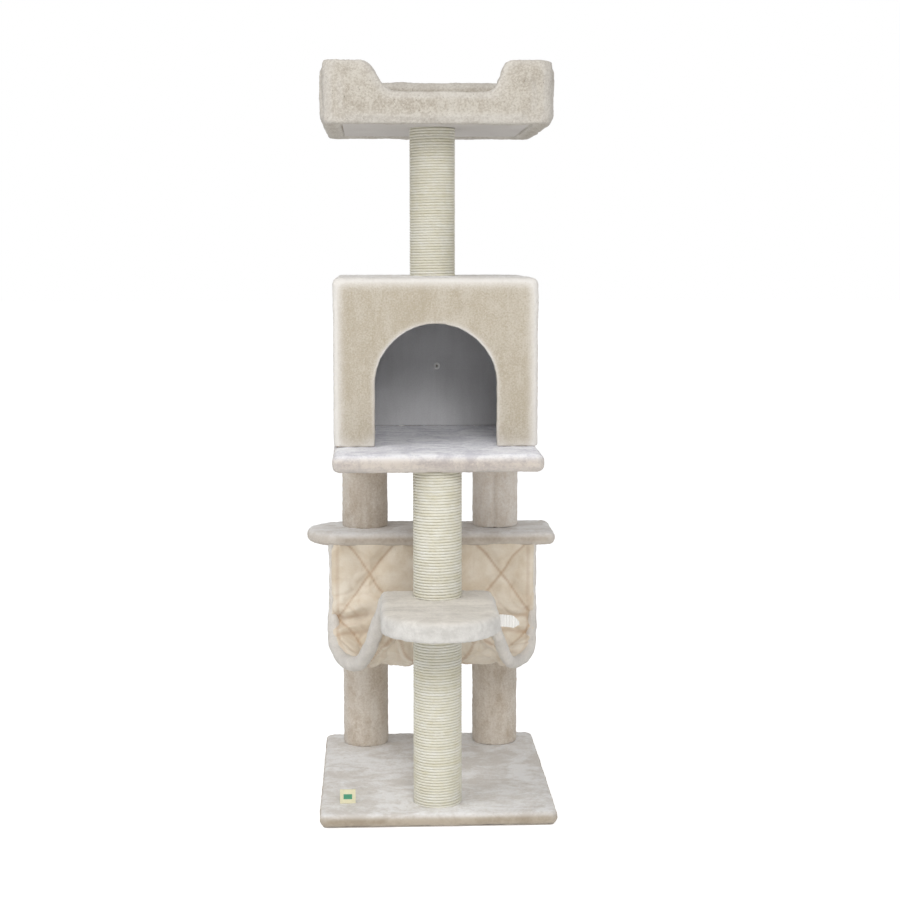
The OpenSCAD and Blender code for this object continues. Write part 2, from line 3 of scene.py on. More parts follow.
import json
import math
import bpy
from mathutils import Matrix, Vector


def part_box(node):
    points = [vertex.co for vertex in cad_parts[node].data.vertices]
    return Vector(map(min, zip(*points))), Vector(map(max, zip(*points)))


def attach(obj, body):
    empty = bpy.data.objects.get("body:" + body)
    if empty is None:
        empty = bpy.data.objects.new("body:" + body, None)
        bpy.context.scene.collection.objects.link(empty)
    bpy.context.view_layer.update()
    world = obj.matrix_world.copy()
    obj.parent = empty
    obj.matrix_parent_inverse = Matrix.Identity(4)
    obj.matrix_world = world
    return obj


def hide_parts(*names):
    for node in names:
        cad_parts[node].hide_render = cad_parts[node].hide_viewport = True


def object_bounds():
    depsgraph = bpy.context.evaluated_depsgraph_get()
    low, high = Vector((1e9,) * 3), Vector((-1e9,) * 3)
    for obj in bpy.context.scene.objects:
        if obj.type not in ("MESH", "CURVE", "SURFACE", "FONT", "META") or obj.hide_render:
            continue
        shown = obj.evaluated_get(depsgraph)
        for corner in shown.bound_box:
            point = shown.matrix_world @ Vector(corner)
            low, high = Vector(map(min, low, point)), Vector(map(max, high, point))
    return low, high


bl_info = {
    "name": "Cat Tree Maker",
    "version": (1, 0, 0),
    "blender": (4, 5, 0),
    "location": "View3D > Sidebar > Cat Tree",
    "description": "Plush covers, sisal winding, hammock, house and bed of a cat tree",
    "category": "Add Mesh",
}

import bmesh
import bpy
import numpy as np
from bpy.props import FloatProperty, FloatVectorProperty, IntProperty, PointerProperty
from mathutils import Vector, noise

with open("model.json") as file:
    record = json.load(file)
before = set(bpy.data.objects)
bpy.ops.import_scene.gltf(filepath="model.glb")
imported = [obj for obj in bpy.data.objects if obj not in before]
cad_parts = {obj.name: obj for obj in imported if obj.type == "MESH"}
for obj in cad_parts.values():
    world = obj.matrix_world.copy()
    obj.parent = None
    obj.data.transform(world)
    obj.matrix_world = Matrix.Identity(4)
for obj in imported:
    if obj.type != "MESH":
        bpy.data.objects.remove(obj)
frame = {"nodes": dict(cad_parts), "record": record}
CAD_BOX = [[float(v) for v in corner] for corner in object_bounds()]
BODY = "root"

POST_NAMES = ("front_lower", "front_upper", "top")
REAR_NAMES = ("back_left_lower", "back_left_upper", "back_right_lower", "back_right_upper")

# doorway: radius of its round top, and how far that top's centre is above the house's bottom
DOOR_RADIUS = 0.1065
DOOR_SPRING = 0.1075
# how far the front cover laps round the sides and the top
FRONT_LAP = 0.021
# depth of the step's round nose
STEP_NOSE = 0.072
# length of the label's top that is turned over to its back
LABEL_TUCK = 0.004
# bed's front wall: height of its low edge, and where its shoulders start and end
LOW_EDGE = 0.056
SHOULDERS = (-0.129, -0.070, 0.096, 0.134)
# mesh size of the linings
CLOTH_VOXEL = 0.0021
# radius of a hole for a washer, and for a bolt alone
WASHER_HOLE = 0.011
BOLT_HOLE = 0.004
# painted shade on the sides and back of the house, on the faces that don't point up
WRAP_SIDE_SHADE = (0.84, 0.80, 0.745, 1)


# ---------------------------------------------------------------- sizes and colours
def colour(red, green, blue):
    """A display colour, 0 to 255, as linear RGBA."""
    parts = [c / 255 for c in (red, green, blue)]
    linear = [c / 12.92 if c <= 0.04045 else ((c + 0.055) / 1.055) ** 2.4 for c in parts]
    return (*linear, 1.0)


def colour_property(name, description, display):
    return FloatVectorProperty(
        name=name, description=description, subtype="COLOR", size=4, min=0, max=1,
        default=colour(*display),
    )


def length_property(name, description, default):
    return FloatProperty(
        name=name, description=description, default=default, min=0, subtype="DISTANCE", unit="LENGTH"
    )


class PlushSettings(bpy.types.PropertyGroup):
    """Pile of the padded boards, posts, house and bed."""

    light: colour_property("Light plush", "Platforms and the sides of the house", (243, 242, 241))
    light_shade: colour_property("Light plush, brushed", "Where the pile lies the other way", (218, 213, 207))
    # painted shade: the faces that don't point up are darkened and warmed by these colours
    light_side_shade: colour_property("Light plush, sides", "Painted shade on the edges of the platforms", (210, 200, 187))
    base_side_shade: colour_property("Base plush, sides", "Painted shade on the edges of the base", (194, 182, 164))
    # whiter than the platforms' plush, and brighter still as painted light for the shaded inside of the house
    floor: colour_property("Floor plush", "Floor of the house", (252, 252, 255))
    floor_shade: colour_property("Floor plush, brushed", "Where the pile lies the other way", (216, 215, 223))
    step: colour_property("Step plush", "Step in front", (232, 226, 216))
    step_shade: colour_property("Step plush, brushed", "Where the pile lies the other way", (208, 202, 192))
    beige: colour_property("Beige plush", "House front", (198, 190, 176))
    beige_shade: colour_property("Beige plush, brushed", "Where the pile lies the other way", (180, 169, 150))
    bed: colour_property("Bed plush", "Bed walls", (203, 197, 186))
    bed_shade: colour_property("Bed plush, brushed", "Hollows of the bed's pile", (174, 165, 152))
    taupe: colour_property("Taupe plush", "Rear post sleeves", (230, 222, 211))
    taupe_shade: colour_property("Taupe plush, brushed", "Where the pile lies the other way", (195, 180, 162))
    # painted sheen: the pale colour mixed onto the rounded edges of the plush
    edge_sheen: colour_property("Painted edge sheen", "Painted sheen on the plush's rounded edges", (236, 233, 229))
    voxel: length_property("Mesh size", "Edge length of the pile's mesh", 0.0028)
    lump: length_property("Lump height", "Height of the padding's unevenness", 0.0026)
    tuft: length_property("Tuft height", "Height of the pile's tufts", 0.0022)


class SisalSettings(bpy.types.PropertyGroup):
    """Rope winding of the scratching posts."""

    pale: colour_property("Sisal", "Outside of the rope", (231, 230, 223))
    shade: colour_property("Sisal, shaded", "Darker fibres in the rope", (210, 204, 178))
    pitch: length_property("Pitch", "Height that one turn takes", 0.005)
    steps: IntProperty(name="Steps", description="Segments in one turn", default=56, min=24)
    strands: IntProperty(name="Strands", description="Strands in the rope", default=3, min=2)


class HammockSettings(bpy.types.PropertyGroup):
    """Quilted sling and its rolled hems."""

    cream: colour_property("Fleece", "Quilted cloth", (230, 221, 206))
    cream_shade: colour_property("Fleece, shaded", "Hollows of the cloth", (214, 200, 179))
    # painted shade: drawn in the stitched channels, beside the hems, along the creases and under the corner
    # rolls
    seam: colour_property("Seam", "Painted shade of channels, creases and rolls", (166, 132, 100))
    hem: colour_property("Hem", "Rolled hems", (226, 221, 214))
    bend: length_property("Bend radius", "Radius of the sling's round bottom", 0.075)
    thickness: length_property("Cloth thickness", "Thickness between the seams", 0.012)
    diamond: length_property("Diamond width", "Width of one quilted diamond", 0.125)
    hem_thickness: length_property("Hem thickness", "Thickness of the rolled hem", 0.022)


class FabricSettings(bpy.types.PropertyGroup):
    """Linings, sheets and labels."""

    lining: colour_property("Lining", "Inside of the house", (222, 222, 223))
    lining_shade: colour_property("Lining, shaded", "Brushed streaks of the lining", (206, 205, 206))
    sheet: colour_property("Underside sheet", "Sheet under the bed and the base", (208, 203, 198))
    label: colour_property("Label", "Ground of the woven label", (232, 226, 192))
    tag: colour_property("Tag", "Blank satin tag", (248, 247, 244))
    label_bar: colour_property("Label bar", "Plain bar woven into the label", (74, 150, 118))


class StructureSettings(bpy.types.PropertyGroup):
    """Boards, tubes, plugs and fasteners inside the covers."""

    board: colour_property("Board", "Particle board", (186, 152, 108))
    card: colour_property("Tube", "Kraft cardboard", (160, 124, 84))
    plug: colour_property("Plug", "Softwood", (206, 172, 122))
    zinc: colour_property("Zinc", "Bolts, nuts, washers and screws", (190, 192, 196))


class StageSettings(bpy.types.PropertyGroup):
    """Camera, lights and floor."""

    camera_place: FloatVectorProperty(
        name="Camera place", description="Where the camera stands", size=3, subtype="TRANSLATION",
        unit="LENGTH", default=(-0.1098, -3.052, 0.9813),
    )
    camera_pitch: FloatProperty(
        name="Camera pitch", description="Angle below the horizon", default=math.radians(6.71),
        subtype="ANGLE", unit="ROTATION",
    )
    camera_yaw: FloatProperty(
        name="Camera yaw", description="Turn to the right of straight ahead",
        default=math.radians(2.62), subtype="ANGLE", unit="ROTATION",
    )
    lens: FloatProperty(name="Lens", description="Focal length on a 36 mm sensor", default=67.74, min=1)
    sky: FloatProperty(name="Sky", description="Light of the white surroundings", default=0.5, min=0)
    key: FloatProperty(name="Key light", description="Power of the light above left", default=36, min=0)
    front: FloatProperty(name="Front light", description="Power of the high front light", default=39, min=0)
    low: FloatProperty(name="Low light", description="Power of the level front light", default=6, min=0)


SETTINGS = {
    "tree_plush": PlushSettings,
    "tree_sisal": SisalSettings,
    "tree_hammock": HammockSettings,
    "tree_fabric": FabricSettings,
    "tree_structure": StructureSettings,
    "tree_stage": StageSettings,
}


# ---------------------------------------------------------------- modelling by hand
def corners(node):
    """Low and high corners of a node's box."""
    low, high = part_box(node)
    return Vector(low), Vector(high)


def clear_selection():
    active = bpy.context.view_layer.objects.active
    if active and active.mode != "OBJECT":
        bpy.ops.object.mode_set(mode="OBJECT")
    bpy.ops.object.select_all(action="DESELECT")


def activate(obj):
    clear_selection()
    obj.select_set(True)
    bpy.context.view_layer.objects.active = obj


def settle(obj):
    """Moves the object's place, turn and scale into its mesh."""
    activate(obj)
    bpy.ops.object.transform_apply(location=True, rotation=True, scale=True)
    return obj


def named(obj, name):
    obj.name = name
    obj.data.name = name
    return obj


def add_block(name, low, high):
    clear_selection()
    middle = [(a + b) / 2 for a, b in zip(low, high)]
    bpy.ops.mesh.primitive_cube_add(size=1, location=middle)
    obj = named(bpy.context.object, name)
    obj.scale = [b - a for a, b in zip(low, high)]
    return settle(obj)


def add_post(name, centre, radius, z0, z1, sides=96):
    clear_selection()
    bpy.ops.mesh.primitive_cylinder_add(
        vertices=sides, radius=radius, depth=z1 - z0, location=(*centre, (z0 + z1) / 2)
    )
    return settle(named(bpy.context.object, name))


def add_modifier(obj, kind, **values):
    """Adds a modifier with these values and applies it."""
    mod = obj.modifiers.new(kind.title(), kind)
    for key, value in values.items():
        setattr(mod, key, value)
    activate(obj)
    bpy.ops.object.modifier_apply(modifier=mod.name)
    return obj


def edit(obj, mode="EDGE"):
    """Opens the object in edit mode with nothing selected and returns its mesh."""
    activate(obj)
    bpy.ops.object.mode_set(mode="EDIT")
    bpy.ops.mesh.select_mode(type=mode)
    bpy.ops.mesh.select_all(action="DESELECT")
    return bmesh.from_edit_mesh(obj.data)


def close_edit(obj):
    bmesh.update_edit_mesh(obj.data)
    bpy.ops.object.mode_set(mode="OBJECT")


def is_upright(edge):
    a, b = (v.co for v in edge.verts)
    return (a - b).xy.length < 1e-5 < abs(a.z - b.z)


def bevel_edges(obj, test, width, segments=8):
    mesh = edit(obj)
    for edge in mesh.edges:
        edge.select_set(test(edge))
    bpy.ops.mesh.bevel(offset=width, segments=segments, affect="EDGES")
    close_edit(obj)
    return obj


def round_rims(obj, width, segments=4, angle=50):
    """Rounds every sharp edge."""
    return add_modifier(
        obj, "BEVEL", width=width, segments=segments, limit_method="ANGLE",
        angle_limit=math.radians(angle),
    )


def combine(obj, cutter, operation="DIFFERENCE"):
    """Cuts or joins a second shape and removes it."""
    add_modifier(obj, "BOOLEAN", operation=operation, object=cutter, solver="EXACT")
    bpy.data.objects.remove(cutter)
    return obj


def drill(obj, tube, radius, low, high, sides):
    """Cuts a round hole in line with a tube, right through from one corner's height to the other's."""
    a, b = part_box(tube)
    middle = ((a[0] + b[0]) / 2, (a[1] + b[1]) / 2)
    return combine(obj, add_post("hole", middle, radius, low[2] - 0.01, high[2] + 0.01, sides))


def cloud(name, size, depth=1):
    texture = bpy.data.textures.get(name)
    if texture is None:
        texture = bpy.data.textures.new(name, "CLOUDS")
        texture.noise_scale = size
        texture.noise_depth = depth
    return texture


def displace(obj, texture, strength):
    return add_modifier(
        obj, "DISPLACE", texture=texture, strength=strength, mid_level=0.5, texture_coords="LOCAL"
    )


def smooth_shading(obj):
    activate(obj)
    bpy.ops.object.shade_smooth()
    return obj


def store(obj, name, values):
    """Keeps one value for each vertex, for the material to read."""
    obj.data.attributes.new(name, "FLOAT", "POINT").data.foreach_set("value", values)


def spread(obj, values, rounds):
    """Averages each vertex's value with its neighbours', this many times over."""
    ends = np.empty(len(obj.data.edges) * 2, dtype=np.int64)
    obj.data.edges.foreach_get("vertices", ends)
    first, second = ends[0::2], ends[1::2]
    count = np.bincount(ends, minlength=len(values)) + 1
    for _ in range(rounds):
        total = values + np.bincount(first, values[second], len(values))
        values = (total + np.bincount(second, values[first], len(values))) / count
    return values


def mark_pile(obj, sheen_spread):
    """Notes the rounded edges, which get a painted sheen, and how far each face points up, for the painted
    shade on the sides.
    """
    normals = np.array([vertex.normal[:] for vertex in obj.data.vertices])
    rim = np.clip((0.99 - np.abs(normals).max(axis=1)) / 0.12, 0, 1)
    near = np.clip(spread(obj, rim, 6) * 1.4, 0, 1)
    if sheen_spread:
        # the painted sheen reaches further in from the outer edges than from the openings' edges
        places = np.array([vertex.co[:] for vertex in obj.data.vertices])
        low, high = places.min(axis=0), places.max(axis=0)
        reach = np.minimum(places - low, high - places)
        outer = np.clip(1 - reach[:, [0, 2]] / 0.03, 0, 1).max(axis=1)
        wide = np.clip(spread(obj, rim, sheen_spread) * 2.2, 0, 1) * np.clip(outer * 2, 0, 1)
        near = np.maximum(near, wide)
    store(obj, "rim", near)
    store(obj, "top", spread(obj, np.clip(normals[:, 2] * 1.5 - 0.25, 0, 1), 3))


def puff(obj, cap, pressure=4.0, frames=20, held=""):
    """Swells padded fabric by a short cloth simulation, outwards by this much at most."""
    scene = bpy.context.scene
    before = [(vertex.co.copy(), vertex.normal.copy()) for vertex in obj.data.vertices]
    cloth = obj.modifiers.new("Cloth", "CLOTH")
    cloth.settings.use_pressure = True
    cloth.settings.uniform_pressure_force = pressure
    cloth.settings.effector_weights.gravity = 0
    cloth.settings.vertex_group_mass = held
    cloth.point_cache.frame_start, cloth.point_cache.frame_end = 1, frames
    for step in range(1, frames + 1):
        scene.frame_set(step)
    activate(obj)
    bpy.ops.object.modifier_apply(modifier=cloth.name)
    scene.frame_set(1)
    for vertex, (old, outward) in zip(obj.data.vertices, before):
        move = vertex.co - old
        swelling = move.dot(outward)
        slide = move - outward * swelling
        if slide.length > cap / 3:
            slide *= cap / 3 / slide.length
        vertex.co = old + slide + outward * min(cap, max(-cap / 8, swelling))
    return obj


def give_pile(obj, voxel=None, lump=1.0, tuft=1.0, soften=3, swell=0.0, sheen_spread=0):
    """Turns a blocked-out shape into padded plush: fine even mesh, soft edges, lumps and tufts."""
    pile = bpy.context.scene.tree_plush
    add_modifier(obj, "REMESH", mode="VOXEL", voxel_size=voxel or pile.voxel)
    add_modifier(obj, "SMOOTH", factor=0.5, iterations=soften)
    if swell:
        puff(obj, swell)
        add_modifier(obj, "SUBSURF", levels=1, render_levels=1)
    mark_pile(obj, sheen_spread)
    displace(obj, cloud("padding", 0.055, 2), pile.lump * lump)
    displace(obj, cloud("tufts", 0.0065, 1), pile.tuft * tuft)
    return smooth_shading(obj)


def keep_above(obj, z):
    """Flattens what reaches below a level."""
    for vertex in obj.data.vertices:
        vertex.co.z = max(vertex.co.z, z)
    return obj


def keep_below(obj, z):
    for vertex in obj.data.vertices:
        vertex.co.z = min(vertex.co.z, z)
    return obj


def swept_tube(name, points, radii, sides=20):
    """A tube along the points, with its radius at each."""
    curve = bpy.data.curves.new(name, "CURVE")
    curve.dimensions = "3D"
    spline = curve.splines.new("POLY")
    spline.points.add(len(points) - 1)
    for place, point, radius in zip(spline.points, points, radii):
        place.co = (*point, 1)
        place.radius = radius
    curve.bevel_depth = 1.0
    curve.bevel_resolution = sides // 4
    curve.use_fill_caps = True
    obj = bpy.data.objects.new(name, curve)
    bpy.context.scene.collection.objects.link(obj)
    activate(obj)
    bpy.ops.object.convert(target="MESH")
    return named(bpy.context.object, name)


def finish_piece(obj, material, slot, *nodes):
    obj.data.materials.clear()
    obj.data.materials.append(material)
    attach(obj, BODY)
    if nodes:
        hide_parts(*nodes)
    return obj


def dress(node_name, material):
    """Gives a CAD node its finish."""
    mesh = frame["nodes"][node_name].data
    mesh.materials.clear()
    mesh.materials.append(material)


# ---------------------------------------------------------------- materials
def add_node(tree, kind, inputs=None, **settings):
    item = tree.nodes.new(kind)
    for key, value in settings.items():
        setattr(item, key, value)
    for key, value in (inputs or {}).items():
        if isinstance(value, bpy.types.NodeSocket):
            tree.links.new(value, item.inputs[key])
        else:
            item.inputs[key].default_value = value
    return item


def maths(tree, operation, a, b=0.0):
    return add_node(tree, "ShaderNodeMath", {0: a, 1: b}, operation=operation).outputs[0]


def weighted(tree, *terms):
    """Sum of the values, each times its weight."""
    total = None
    for value, weight in terms:
        term = maths(tree, "MULTIPLY", value, weight)
        total = term if total is None else maths(tree, "ADD", total, term)
    return total


def mixed(tree, factor, a, b):
    item = add_node(tree, "ShaderNodeMix", {0: factor, 6: a, 7: b}, data_type="RGBA")
    return item.outputs[2]


def ranged(tree, value, low, high, to_low=0.0, to_high=1.0):
    item = add_node(
        tree, "ShaderNodeMapRange",
        {"Value": value, "From Min": low, "From Max": high, "To Min": to_low, "To Max": to_high},
    )
    return item.outputs["Result"]


def noise_at(tree, vector, scale, detail=3.0, roughness=0.55, distortion=0.0):
    return add_node(
        tree, "ShaderNodeTexNoise",
        {"Vector": vector, "Scale": scale, "Detail": detail, "Roughness": roughness,
         "Distortion": distortion},
    ).outputs[0]


def stretched(tree, vector, scale):
    return add_node(tree, "ShaderNodeMapping", {"Vector": vector, "Scale": scale}).outputs[0]


SOCKETS = {"colour": "NodeSocketColor", "value": "NodeSocketFloat", "vector": "NodeSocketVector"}


def shader_group(name, inputs, outputs, build):
    """A node group with these sockets, built once."""
    tree = bpy.data.node_groups.get(name)
    if tree:
        return tree
    tree = bpy.data.node_groups.new(name, "ShaderNodeTree")
    for label, kind, default in inputs:
        socket = tree.interface.new_socket(name=label, in_out="INPUT", socket_type=SOCKETS[kind])
        if default is not None:
            socket.default_value = default
    for label, kind in outputs:
        tree.interface.new_socket(name=label, in_out="OUTPUT", socket_type=SOCKETS[kind])
    start = tree.nodes.new("NodeGroupInput")
    end = tree.nodes.new("NodeGroupOutput")
    for label, value in build(tree, start.outputs).items():
        tree.links.new(value, end.inputs[label])
    return tree


def use_group(tree, group, inputs):
    item = tree.nodes.new("ShaderNodeGroup")
    item.node_tree = group
    for key, value in inputs.items():
        if isinstance(value, bpy.types.NodeSocket):
            tree.links.new(value, item.inputs[key])
        else:
            item.inputs[key].default_value = value
    return item.outputs


def object_place(tree):
    return tree.nodes.new("ShaderNodeTexCoord").outputs["Object"]


def pile_group():
    def build(tree, given):
        place = object_place(tree)
        bent = add_node(
            tree, "ShaderNodeVectorMath", {0: place, 1: (0.11, 0.07, 0.05)}, operation="ADD"
        ).outputs[0]
        patches = noise_at(tree, bent, maths(tree, "DIVIDE", 1.0, given["Patch size"]), 4.0, 0.6, 0.9)
        strokes = noise_at(tree, stretched(tree, place, given["Strokes"]), 1.0, 3.0, 0.6, 0.6)
        tufts = noise_at(tree, place, maths(tree, "DIVIDE", 1.0, given["Tuft size"]), 3.0, 0.65)
        fibres = noise_at(tree, place, 1000.0, 2.0, 0.7)
        lie = maths(tree, "MULTIPLY", given["Brushing"], maths(
            tree, "ADD", ranged(tree, patches, 0.26, 0.74, -0.6, 0.6),
            ranged(tree, strokes, 0.24, 0.76, -0.5, 0.5)))
        speckle = maths(tree, "MULTIPLY", given["Speckle"], maths(
            tree, "ADD", ranged(tree, tufts, 0.3, 0.7, -0.7, 0.7),
            ranged(tree, fibres, 0.3, 0.7, -0.3, 0.3)))
        factor = maths(tree, "ADD", 0.5, maths(tree, "ADD", lie, speckle))
        clamped = add_node(tree, "ShaderNodeClamp", {"Value": factor}).outputs[0]
        lit = mixed(tree, clamped, given["Brushed"], given["Upright"])
        side = add_node(
            tree, "ShaderNodeMix", {0: 1.0, 6: lit, 7: given["Side shade"]},
            data_type="RGBA", blend_type="MULTIPLY",
        ).outputs[2]
        # painted shade: faces that don't point up take the side shade, faces that point up keep the lit
        # colour
        top = add_node(tree, "ShaderNodeAttribute", attribute_name="top").outputs["Fac"]
        base = mixed(tree, top, side, lit)
        # painted sheen: rounded edges are mixed towards the pale edge colour
        rim = add_node(tree, "ShaderNodeAttribute", attribute_name="rim").outputs["Fac"]
        rim_sheen = maths(tree, "MULTIPLY", rim, given["Rim"])
        lint = noise_at(tree, place, 240.0, 1.0, 0.5)
        flecks = maths(tree, "MULTIPLY", ranged(tree, lint, 0.70, 0.76), given["Flecks"])
        height = weighted(tree, (tufts, 0.75), (fibres, 0.3))
        sheened = mixed(tree, rim_sheen, base, given["Edge sheen"])
        return {"Colour": mixed(tree, flecks, sheened, (0.19, 0.16, 0.13, 1)), "Height": height}

    return shader_group(
        "Pile",
        [("Upright", "colour", (0.8, 0.8, 0.8, 1)), ("Brushed", "colour", (0.6, 0.6, 0.6, 1)),
         ("Edge sheen", "colour", (0.9, 0.9, 0.9, 1)), ("Side shade", "colour", (1, 1, 1, 1)),
         ("Strokes", "vector", (16, 60, 22)), ("Patch size", "value", 0.09),
         ("Tuft size", "value", 0.004), ("Brushing", "value", 1.0), ("Speckle", "value", 0.35),
         ("Rim", "value", 0.6), ("Flecks", "value", 0.1)],
        [("Colour", "colour"), ("Height", "value")], build,
    )


def weave_group():
    def build(tree, given):
        place = object_place(tree)
        threads = []
        for axis in ("X", "Y", "Z"):
            wave = add_node(
                tree, "ShaderNodeTexWave",
                {"Vector": place, "Scale": given["Threads"], "Distortion": 0.6, "Detail": 1.0},
                bands_direction=axis, wave_profile="SIN",
            )
            threads.append(wave.outputs["Fac"])
        cross = maths(tree, "MAXIMUM", threads[0], maths(tree, "MAXIMUM", threads[1], threads[2]))
        streaks = noise_at(tree, stretched(tree, place, (70, 70, 9)), 1.0, 4.0, 0.65, 0.4)
        blotch = noise_at(tree, place, 14.0, 3.0, 0.6)
        shade = maths(
            tree, "ADD", ranged(tree, streaks, 0.3, 0.7, 0.0, 0.5), ranged(tree, blotch, 0.3, 0.7, 0.0, 0.3)
        )
        fuzz = noise_at(tree, place, 420.0, 3.0, 0.75)
        shade = maths(tree, "ADD", shade, ranged(tree, fuzz, 0.3, 0.7, -0.25, 0.45))
        height = weighted(tree, (cross, 0.6), (fuzz, 0.5))
        return {"Colour": mixed(tree, shade, given["Shaded"], given["Cloth"]), "Height": height}

    return shader_group(
        "Weave",
        [("Cloth", "colour", (0.5, 0.5, 0.5, 1)), ("Shaded", "colour", (0.4, 0.4, 0.4, 1)),
         ("Threads", "value", 300.0)],
        [("Colour", "colour"), ("Height", "value")], build,
    )


def grain_group():
    def build(tree, given):
        place = object_place(tree)
        long_grain = noise_at(tree, stretched(tree, place, (9, 160, 160)), 1.0, 5.0, 0.6, 0.3)
        chips = noise_at(tree, place, 260.0, 3.0, 0.6)
        tone = weighted(tree, (long_grain, given["Grain"]), (chips, given["Chips"]))
        return {
            "Colour": mixed(tree, ranged(tree, tone, 0.25, 0.75), given["Dark"], given["Pale"]),
            "Height": tone,
        }

    return shader_group(
        "Grain",
        [("Pale", "colour", (0.6, 0.5, 0.4, 1)), ("Dark", "colour", (0.4, 0.3, 0.2, 1)),
         ("Grain", "value", 0.5), ("Chips", "value", 0.5)],
        [("Colour", "colour"), ("Height", "value")], build,
    )


def new_material(name):
    """An empty material, with its node tree and its shader."""
    material = bpy.data.materials.new(name)
    material.use_nodes = True
    tree = material.node_tree
    return material, tree, tree.nodes["Principled BSDF"]


def join_surface(tree, shader, base, height, depth, strength=1.0):
    tree.links.new(base, shader.inputs["Base Color"])
    bump = add_node(tree, "ShaderNodeBump", {"Height": height, "Distance": depth, "Strength": strength})
    tree.links.new(bump.outputs["Normal"], shader.inputs["Normal"])


def darker(display, amount):
    return (*[c * amount for c in display[:3]], 1.0)


def plush_material(name, upright, brushed, side=(1, 1, 1, 1), strokes=(14, 60, 60), patch=0.09,
                   tuft=0.004, brushing=1.0, speckle=0.35, rim=0.6, sheen=0.25, flecks=0.1):
    material, tree, shader = new_material(name)
    made = use_group(tree, pile_group(), {
        "Upright": upright, "Brushed": brushed, "Edge sheen": bpy.context.scene.tree_plush.edge_sheen,
        "Side shade": side, "Strokes": strokes, "Patch size": patch, "Tuft size": tuft,
        "Brushing": brushing, "Speckle": speckle, "Rim": rim, "Flecks": flecks,
    })
    shader.inputs["Roughness"].default_value = 0.95
    shader.inputs["Specular IOR Level"].default_value = 0.12
    shader.inputs["Sheen Weight"].default_value = sheen
    shader.inputs["Sheen Roughness"].default_value = 0.4
    shader.inputs["Sheen Tint"].default_value = (1, 0.99, 0.98, 1)
    join_surface(tree, shader, made["Colour"], made["Height"], 0.0024, 0.8)
    return material


def cloth_material(name, cloth, shaded, threads=300.0, depth=0.0004, sheen=0.1):
    material, tree, shader = new_material(name)
    made = use_group(tree, weave_group(), {"Cloth": cloth, "Shaded": shaded, "Threads": threads})
    shader.inputs["Roughness"].default_value = 0.9
    shader.inputs["Specular IOR Level"].default_value = 0.15
    shader.inputs["Sheen Weight"].default_value = sheen
    join_surface(tree, shader, made["Colour"], made["Height"], depth, 0.7)
    return material


def grain_material(name, pale, grain, chips, roughness=0.75):
    material, tree, shader = new_material(name)
    made = use_group(tree, grain_group(), {
        "Pale": pale, "Dark": darker(pale, 0.62), "Grain": grain, "Chips": chips,
    })
    shader.inputs["Roughness"].default_value = roughness
    join_surface(tree, shader, made["Colour"], made["Height"], 0.0005, 0.6)
    return material


def sisal_material(settings):
    material, tree, shader = new_material("Sisal rope")
    uv = add_node(tree, "ShaderNodeUVMap", uv_map="along_rope").outputs[0]
    split = add_node(tree, "ShaderNodeSeparateXYZ", {0: uv})
    around, along = split.outputs[0], split.outputs[1]
    turned = maths(tree, "ADD", maths(tree, "MULTIPLY", around, float(settings.strands)),
                   maths(tree, "MULTIPLY", along, 95.0))
    strand = maths(tree, "ABSOLUTE", maths(tree, "SINE", maths(tree, "MULTIPLY", turned, math.pi)))
    place = object_place(tree)
    fibre = noise_at(tree, stretched(tree, place, (500, 500, 1500)), 1.0, 3.0, 0.65)
    tone = noise_at(tree, place, 60.0, 3.0, 0.65)
    band = noise_at(tree, stretched(tree, place, (2, 2, 130)), 1.0, 2.0, 0.6)
    uneven = weighted(tree, (fibre, 0.45), (tone, 0.35), (band, 0.35))
    mixed_tone = mixed(tree, ranged(tree, uneven, 0.38, 0.72), settings.shade, settings.pale)
    # painted shade: darker between the rope's strands
    strand_shaded = mixed(tree, ranged(tree, strand, 0.0, 0.4, 0.55, 1.0), settings.shade, mixed_tone)
    # painted shade: darker in the gaps between the turns, where the groove value is high
    groove = add_node(tree, "ShaderNodeAttribute", attribute_name="groove").outputs["Fac"]
    groove_shaded = mixed(tree, groove, strand_shaded, darker(settings.shade, 0.78))
    height = maths(tree, "ADD", maths(tree, "MULTIPLY", strand, 0.6), fibre)
    shader.inputs["Roughness"].default_value = 0.85
    shader.inputs["Specular IOR Level"].default_value = 0.2
    join_surface(tree, shader, groove_shaded, height, 0.0005, 0.6)
    return material


def fleece_material(name, upright, shaded, seam):
    """Fleece darkened towards the seam colour by the mesh's own seam attribute: painted shade in the stitched
    channels, along the creases and hems, and under the corner rolls.
    """
    material, tree, shader = new_material(name)
    made = use_group(tree, pile_group(), {
        "Upright": upright, "Brushed": shaded, "Edge sheen": upright, "Patch size": 0.06,
        "Tuft size": 0.003, "Brushing": 0.9, "Speckle": 0.2, "Rim": 0.0,
    })
    stitch = add_node(tree, "ShaderNodeAttribute", attribute_name="seam").outputs["Fac"]
    base = mixed(tree, stitch, made["Colour"], seam)
    shader.inputs["Roughness"].default_value = 0.95
    shader.inputs["Specular IOR Level"].default_value = 0.1
    shader.inputs["Sheen Weight"].default_value = 0.3
    shader.inputs["Sheen Roughness"].default_value = 0.5
    join_surface(tree, shader, base, made["Height"], 0.0012, 0.6)
    return material


